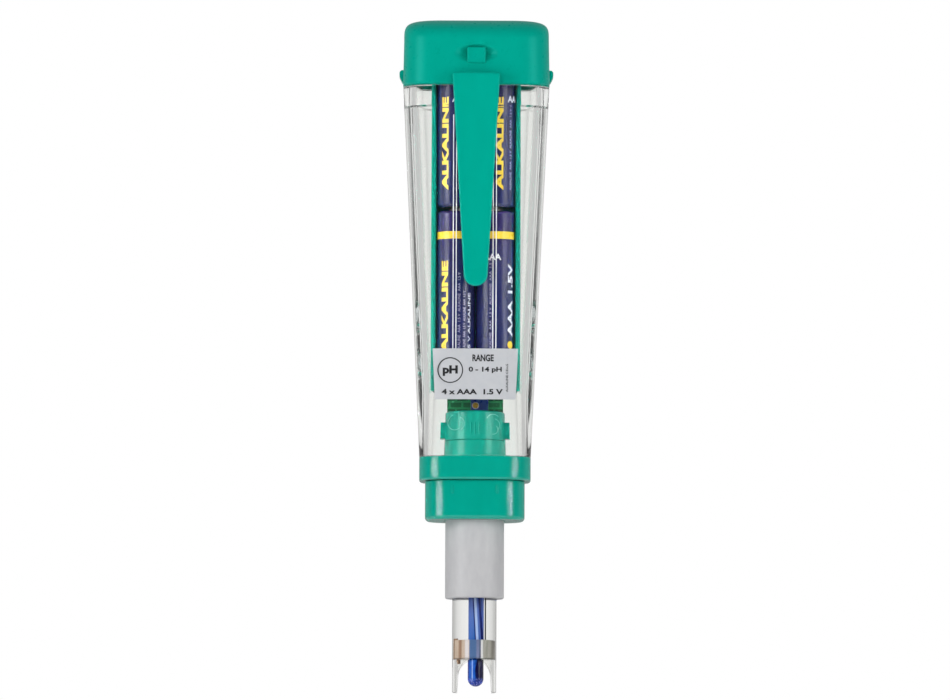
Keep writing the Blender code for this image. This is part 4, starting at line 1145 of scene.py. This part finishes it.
def battery_cap():
    low_z = heights("battery_cap")[0]
    dome_z, top_z = DOME_Z
    rings = rounding(CAP_FOOT, low_z, CAP_EDGE, shape=scooped)
    for z in spaced(SCOOP_STEPS[1], 2 * SCOOP_HALF[1], SCOOP_Z - SCOOP_HALF[1]):
        rings.append(scooped(mix(CAP_FOOT, CAP_SHOULDER, (z - low_z) / (dome_z - low_z)), z))
    width, depth, radius = CAP_SHOULDER
    for angle in spaced(DOME_STEPS):
        fall = 1 - cos(angle)
        section = (width - 2 * DOME_INSETS[0] * fall ** DOME_WIDTH_POWER,
                   depth - 2 * DOME_INSETS[1] * fall, radius - DOME_RADIUS_LOSS * fall)
        rings.append(scooped(section, dome_z + (top_z - dome_z) * sin(angle)))
    hollow = loft(stack((CAP_SKIRT_BORE, low_z - 1), (CAP_SKIRT_BORE, SKIRT_TOP_Z),
                        (CAP_UPPER_BORE, SKIRT_TOP_Z), (CAP_UPPER_BORE, CEILING_Z)))
    back_y = -(CAP_FOOT[1] + CAP_SHOULDER[1]) / 4 - BAR_PROUD
    width, depth, height = BAR_SIZE
    bar = block((-width / 2, back_y, BAR_Z - height / 2),
                (width / 2, back_y + depth, BAR_Z + height / 2), 0.5, 5)
    low, high = NUB_Z
    nubs = []
    for side in (-1, 1):
        wedge = eased([(side * (CAP_FOOT[0] / 2 + proud), z, *reach) for proud, z, *reach in (
            (-0.8, low), (0.2, low, 0.15), (NUB_PROUD, low + 1.6, 0.5), (NUB_PROUD, high - 0.5, 0.3),
            (0.5, high, 0.2), (-0.8, high))])
        nubs.append(loft([[(x, y, z) for x, z in wedge] for y in (-NUB_HALF_DEPTH, NUB_HALF_DEPTH)]))
    cap = fused(cut(loft(rings), hollow), bar, *nubs)
    piece("cap", [(cap, "cap_plastic")], "cap", ["battery_cap"], sharp=28.0)


def cap_gasket():
    low, high = heights("cap_gasket")
    ease = 0.2
    outer = grown(NECK_OUTER, -0.3)
    inner = grown(BORE, 0.25)
    far = grown(outer, -ease)
    near = grown(inner, ease)
    rings = stack((inner, low + ease), (near, low), (far, low), (outer, low + ease),
                  (outer, high - ease), (far, high), (near, high), (inner, high - ease))
    piece("gasket", [(loft(rings, closed=True), "seal_rubber")], "housing", ["cap_gasket"])


def pocket_clip():
    """Tapered spring strip: stands off the cap at its root and touches the body near its tip."""
    pad_y = -(face_y(CLIP_PAD_Z) + CLIP_PAD_GAP)

    def inner_y(z):
        if z < CLIP_PAD_Z:
            return pad_y - CLIP_FLARE * (CLIP_PAD_Z - z) / (CLIP_PAD_Z - CLIP_TIP_Z)
        share = min(1.0, (z - CLIP_PAD_Z) / (CLIP_BEND_Z - CLIP_PAD_Z))
        return pad_y + (CLIP_ROOT_Y - pad_y) * share

    (start_z, start_half), (end_z, end_half) = CLIP_TAPER
    end_round = CLIP_END_ROUND
    rows = []                # height, half width and distance from the nearer end
    for angle in spaced(20)[1:-1]:
        z = start_z - (start_z - CLIP_TIP_Z) * cos(angle)
        rows.append((z, start_half * sin(angle), z - CLIP_TIP_Z))
    for z in (start_z, CLIP_PAD_Z, 75.0, 85.0, 95.0, 105.0, end_z):
        half = start_half + (end_half - start_half) * (z - start_z) / (end_z - start_z)
        rows.append((z, half, end_round))
    rows.append((*CLIP_SHOULDER, end_round))
    for angle in spaced(EASE_STEPS):
        drop = end_round * (1 - sin(angle))
        rows.append((CLIP_TOP_Z - drop, CLIP_TOP_HALF - end_round * (1 - cos(angle)) * 0.9, drop))
    rings = []
    for z, half, from_end in rows:
        share = (z - CLIP_TIP_Z) / (CLIP_TOP_Z - CLIP_TIP_Z)
        thickness = CLIP_THICKNESS[0] + (CLIP_THICKNESS[1] - CLIP_THICKNESS[0]) * share
        fall = 1 - min(1.0, from_end / end_round)
        near = inner_y(z)
        far = near - thickness + end_round * (1 - sqrt(1 - fall ** 2))
        outer_edge = min(CLIP_EDGES[0], half * 0.9, (near - far) * 0.6)
        inner_edge = min(CLIP_EDGES[1], half * 0.5)
        plan = eased(((-half, far, outer_edge), (half, far, outer_edge), (half, near, inner_edge),
                      (-half, near, inner_edge)))
        rings.append([(x, y, z) for x, y in plan])
    clip = fused(loft(rings), block(*CLIP_ROOT, 0.1))
    piece("clip", [(clip, "clip_plastic")], "clip", ["pocket_clip"], sharp=40.0)


# Electrode module

def electrode_block():
    top = BLOCK_TOP_Z
    low, high = GROOVE_Z
    body = loft(rounding(BLOCK_PLAN, 0.0, 1.1) + rounding(BLOCK_PLAN, top, 0.25, True))
    spigot = turned(((0.0, top - 1), (SPIGOT_RADIUS, top - 1), (SPIGOT_RADIUS, low, 0.1),
                     (GROOVE_RADIUS, low, 0.1), (GROOVE_RADIUS, high, 0.1), (SPIGOT_RADIUS, high, 0.1),
                     (SPIGOT_RADIUS, SPIGOT_TOP_Z, 0.5), (0.0, SPIGOT_TOP_Z)))
    bore, roof, end = 8.3, 7.9, SPIGOT_TOP_Z - 2.5
    passage = turned(((0.0, -1.0), (bore, -1.0), (bore, roof), (2.2, roof), (2.2, end), (0.0, end)))
    back = -BLOCK_PLAN[1] / 2
    bumps = both_sides((5.7, back - 0.2, 7.0), (6.5, back + 0.5, 9.2), 0.15)
    body = fused(cut(fused(body, spigot), passage), *bumps)
    piece("electrode_head", [(body, "block_plastic")], "electrode", ["electrode_block"])


def electrode_ring():
    section = [(6.22 + 0.36 * cos(angle), 14.0 + 0.36 * sin(angle))
               for angle in spaced(16, tau)[:-1]]
    piece("o_ring", [(turned(section, closed=True), "seal_rubber")], "electrode",
          ["electrode_o_ring"])


def electrode_pins():
    for name, x in (("left", -3.0), ("middle", 0.0), ("right", 3.0)):
        node = "contact_pin_" + name
        low, high = heights(node)
        pin = turned(((0.0, low), (0.7, low, 0.1), (0.7, low + 0.5, 0.1), (0.45, low + 0.5),
                      (0.45, high, 0.35), (0.0, high)), SMALL_STEPS, (x, 0.0))
        piece(node + "_gold", [(pin, "gold_plate")], "electrode", [node])


def electrode_sleeve():
    (_, _, low), (outer, _, high) = box_mm("electrode_sleeve")
    low -= SLEEVE_SKIRT
    sleeve = turned(((SLEEVE_BORE, low, 0.2), (outer, low, 0.55), (outer, high, 0.1),
                     (SLEEVE_BORE, high, 0.1)), TUBE_STEPS, closed=True)
    piece("sleeve", [(sleeve, "sleeve_plastic")], "electrode", ["electrode_sleeve"])


def outer_tube():
    """Clear tube, full of clear gel, whose lower end is cut back to two prongs beside the bulb."""
    low, high = heights("outer_tube")
    inner, outer = TUBE_RADII
    filled_z = heights("seal_plug")[0] - FACE_GAP
    tube = turned(((0.0, filled_z), (inner, filled_z, 0.3), (inner, low, 0.25), (outer, low, 0.3),
                   (outer, high), (0.0, high)), TUBE_STEPS)
    foot = ARCH_HALF_WIDTH + 0.35
    rise = (ARCH_TOP_Z - low) * 0.55
    arch = [(ARCH_HALF_WIDTH * cos(angle), ARCH_TOP_Z - rise + rise * sin(angle))
            for angle in spaced(28, pi)]
    arch = [(foot, low - 1), *arch, (-foot, low - 1)]
    tube = cut(tube, loft([[(x, y, z) for x, z in arch] for y in (outer + 1, -outer - 1)]))
    piece("guard_tube", [(tube, "clear_tube_plastic")], "electrode", ["outer_tube"],
          sharp=35.0, clear=True)


def seal_plug():
    (_, _, low), (radius, _, high) = box_mm("seal_plug")
    holes = [rod(reach, low - 1, high + 1, steps=40, centre=(x, 0.0))
             for reach, x in ((STEM_HOLE_RADIUS, STEM_X), (0.68, JUNCTION_X))]
    plug = cut(rod(radius, low, high, 0.2, 0.2), *holes)
    piece("seal", [(plug, "cast_seal")], "electrode", ["seal_plug"])


def glass_parts():
    stem = rod(STEM_RADIUS, *heights("glass_stem"), 0.0, 0.1, 64, (STEM_X, 0.0))
    piece("stem_tube", [(stem, "gel_filled_stem")], "electrode", ["glass_stem"])
    low, high = heights("glass_bulb")
    neck_z = heights("seal_plug")[0] - 2 * FACE_GAP
    profile = [(BULB_RADIUS * sin(angle), low + BULB_RADIUS * (1 - cos(angle)))
               for angle in spaced(24)]
    profile += [(BULB_RADIUS, neck_z, 0.4), (STEM_HOLE_RADIUS, neck_z), (STEM_HOLE_RADIUS, high),
                (0.0, high)]
    bulb = turned(profile, 64, (STEM_X, 0.0))
    piece("bulb", [(bulb, "gel_filled_bulb")], "electrode", ["glass_bulb"])


def electrode_filling():
    low, high = heights("buffer_gel")
    gel = turned(((0.0, low), (0.8, low + 0.3, 0.3), (0.8, high, 0.2), (0.0, high)), SMALL_STEPS,
                 (STEM_X, 0.0))
    piece("gel_column", [(gel, "buffer_gel")], "electrode", ["buffer_gel"])
    low, high = WIRE_Z
    for name, phase in (("signal", 0.0), ("shield", radians(150))):
        points = []
        for z in spaced(64, high - low, low):
            angle = phase + tau * (z - low) / WIRE_PITCH
            points.append((STEM_X + WIRE_ORBIT * cos(angle), WIRE_ORBIT * sin(angle), z))
        piece("lead_" + name, [(wire(points, WIRE_RADIUS, (0, 1, 0)), "dark_wire")], "electrode",
              ["inner_wire_" + name])
    lead = rod(0.16, *heights("reference_wire"), 0.05, 0.05, 16, (REFERENCE_X, 0.0))
    piece("reference_lead", [(lead, "holder_plastic")], "electrode", ["reference_wire"])
    junction = rod(0.6, *heights("reference_junction"), 0.15, 0.15, SMALL_STEPS, (JUNCTION_X, 0.0))
    piece("junction_rod", [(junction, "junction_ceramic")], "electrode",
          ["reference_junction"])


def repaint_cad():
    """CAD nodes that stay visible keep their shape and take a finished material."""
    for look, nodes in (
        ("solder_mask", ("main_pcb",)),
        ("chip_epoxy", ("mcu_chip", "amplifier_chip")),
        ("switch_plastic", ("switch_power", "switch_cal", "switch_hold")),
        ("nickel_plate", ("positive_blade", "positive_plate", "negative_plate")),
        ("holder_plastic", ("cap_contact_holder",)),
        ("zebra_strip_rubber", ("zebra_strip_lower", "zebra_strip_upper")),
    ):
        for node in nodes:
            for slot in frame["nodes"][node].material_slots:
                slot.material = looks[look]


# Studio

CAMERA_DISTANCE = 5.0
CAMERA_LENS = 696.0
CAMERA_ELEVATION = radians(-4.0)
CAMERA_ROLL = radians(0.22)
CAMERA_TARGET = Vector((-0.0001, 0.0, 0.0467))
FLOOR_Z = -0.14
FLOOR_HALF = 1.6
FLOOR_LIFT = 0.55       # how much paler the floor looks than its light makes it
SOFTBOX_DISTANCE = 0.7


def camera():
    data = bpy.data.cameras.new("camera")
    data.lens = CAMERA_LENS
    data.sensor_width = 36.0
    data.clip_start = 0.05
    data.clip_end = 20.0
    item = linked("camera", data)
    away = Vector((0, -cos(CAMERA_ELEVATION), sin(CAMERA_ELEVATION)))
    item.location = CAMERA_TARGET + away * CAMERA_DISTANCE
    turn = (-away).to_track_quat("-Z", "Y").to_matrix().to_4x4() @ Matrix.Rotation(CAMERA_ROLL, 4, "Z")
    item.rotation_euler = turn.to_euler()
    bpy.context.scene.camera = item


def floor():
    look = Look("pale_floor", roughness=0.7)
    look.paint("Base Color", look.clouds(look.noise(40.0), (244, 244, 243), (238, 238, 237)))
    look.bump(look.noise(900.0), 0.02)
    seen = look.node("LightPath").outputs["Is Camera Ray"]
    look.shader.inputs["Emission Color"].default_value = (1.0, 1.0, 1.0, 1.0)
    look.paint("Emission Strength", look.levels(seen, 0.0, FLOOR_LIFT, 0.0, 1.0))
    mesh = bmesh.new()
    corners = ((-1, -1), (1, -1), (1, 1), (-1, 1))
    mesh.faces.new([mesh.verts.new((x * FLOOR_HALF, y * FLOOR_HALF, FLOOR_Z)) for x, y in corners])
    data = bpy.data.meshes.new("floor")
    mesh.to_mesh(data)
    mesh.free()
    data.materials.append(look.material)
    item = linked("floor", data)


def softbox(name, azimuth, elevation, width, height, energy, mirrored=True):
    """Tall area light that faces the tester; azimuth 0 is behind the camera."""
    data = bpy.data.lights.new(name, "AREA")
    data.shape = "RECTANGLE"
    data.size = width
    data.size_y = height
    data.energy = energy
    data.cycles.use_multiple_importance_sampling = False
    turn = radians(azimuth)
    lift = radians(elevation)
    away = Vector((sin(turn) * cos(lift), -cos(turn) * cos(lift), sin(lift)))
    item = linked(name, data)
    item.location = CAMERA_TARGET + away * SOFTBOX_DISTANCE
    item.rotation_euler = away.to_track_quat("Z", "Y").to_euler()
    item.visible_camera = False
    item.visible_glossy = mirrored


def world():
    """Plain white room; its light is set apart for what shines, what is clear and what is matt."""
    made = bpy.data.worlds.new("studio")
    made.use_nodes = True
    bpy.context.scene.world = made
    room = Nodes(made.node_tree)
    room.tree.nodes.clear()
    direction = room.node("SeparateXYZ", {"Vector": room.node("TexCoord").outputs["Generated"]})
    ahead = direction.outputs["Y"]
    around = room.levels(ahead, 0.08, 0.62, -0.92, -0.2)
    straight = room.levels(ahead, 0.0, 0.34, 0.86, 0.998)
    through = room.maths("ADD", around, straight)
    shine = room.levels(ahead, 0.0, 0.3, -0.1, 0.6)
    path = room.node("LightPath")
    level = 1.0
    for rays, light in (("Glossy", shine), ("Transmission", through), ("Diffuse", 0.22)):
        flag = path.outputs["Is %s Ray" % rays]
        level = room.node("Mix", {0: flag, 2: level, 3: light}, data_type="FLOAT").outputs[0]
    background = room.node("Background", {"Color": (1.0, 1.0, 1.0, 1.0), "Strength": level})
    room.node("OutputWorld", {0: background.outputs[0]})


def studio():
    camera()
    floor()
    world()
    softbox("softbox_left", -57, 4, 0.34, 0.55, 2.2)
    softbox("softbox_right", 57, 4, 0.34, 0.55, 1.7)
    softbox("softbox_behind_camera", 0, 18, 0.5, 0.4, 1.5, mirrored=False)
    softbox("softbox_front_left", -145, 20, 0.3, 0.5, 1.1, mirrored=False)
    softbox("softbox_front_right", 145, 20, 0.3, 0.5, 1.1, mirrored=False)
    cycles = bpy.context.scene.cycles
    cycles.max_bounces = 40
    cycles.transmission_bounces = 40
    cycles.glossy_bounces = 24
    bpy.context.scene.view_settings.view_transform = "Standard"


def make_tester():
    body_shell()
    guide_ribs()
    bottom_collar()
    connector_socket()
    sealant()
    battery_carrier()
    for level in ("lower", "upper"):
        cell(level + "_left", -CELL_X)
        cell(level + "_right", CELL_X)
    negative_contacts()
    pcb_screws()
    display()
    board_parts()
    trimmer()
    front_panel()
    keys()
    rear_label()
    battery_cap()
    cap_gasket()
    pocket_clip()
    electrode_block()
    electrode_ring()
    electrode_pins()
    electrode_sleeve()
    outer_tube()
    seal_plug()
    glass_parts()
    electrode_filling()
    repaint_cad()


make_looks()
studio()
make_tester()
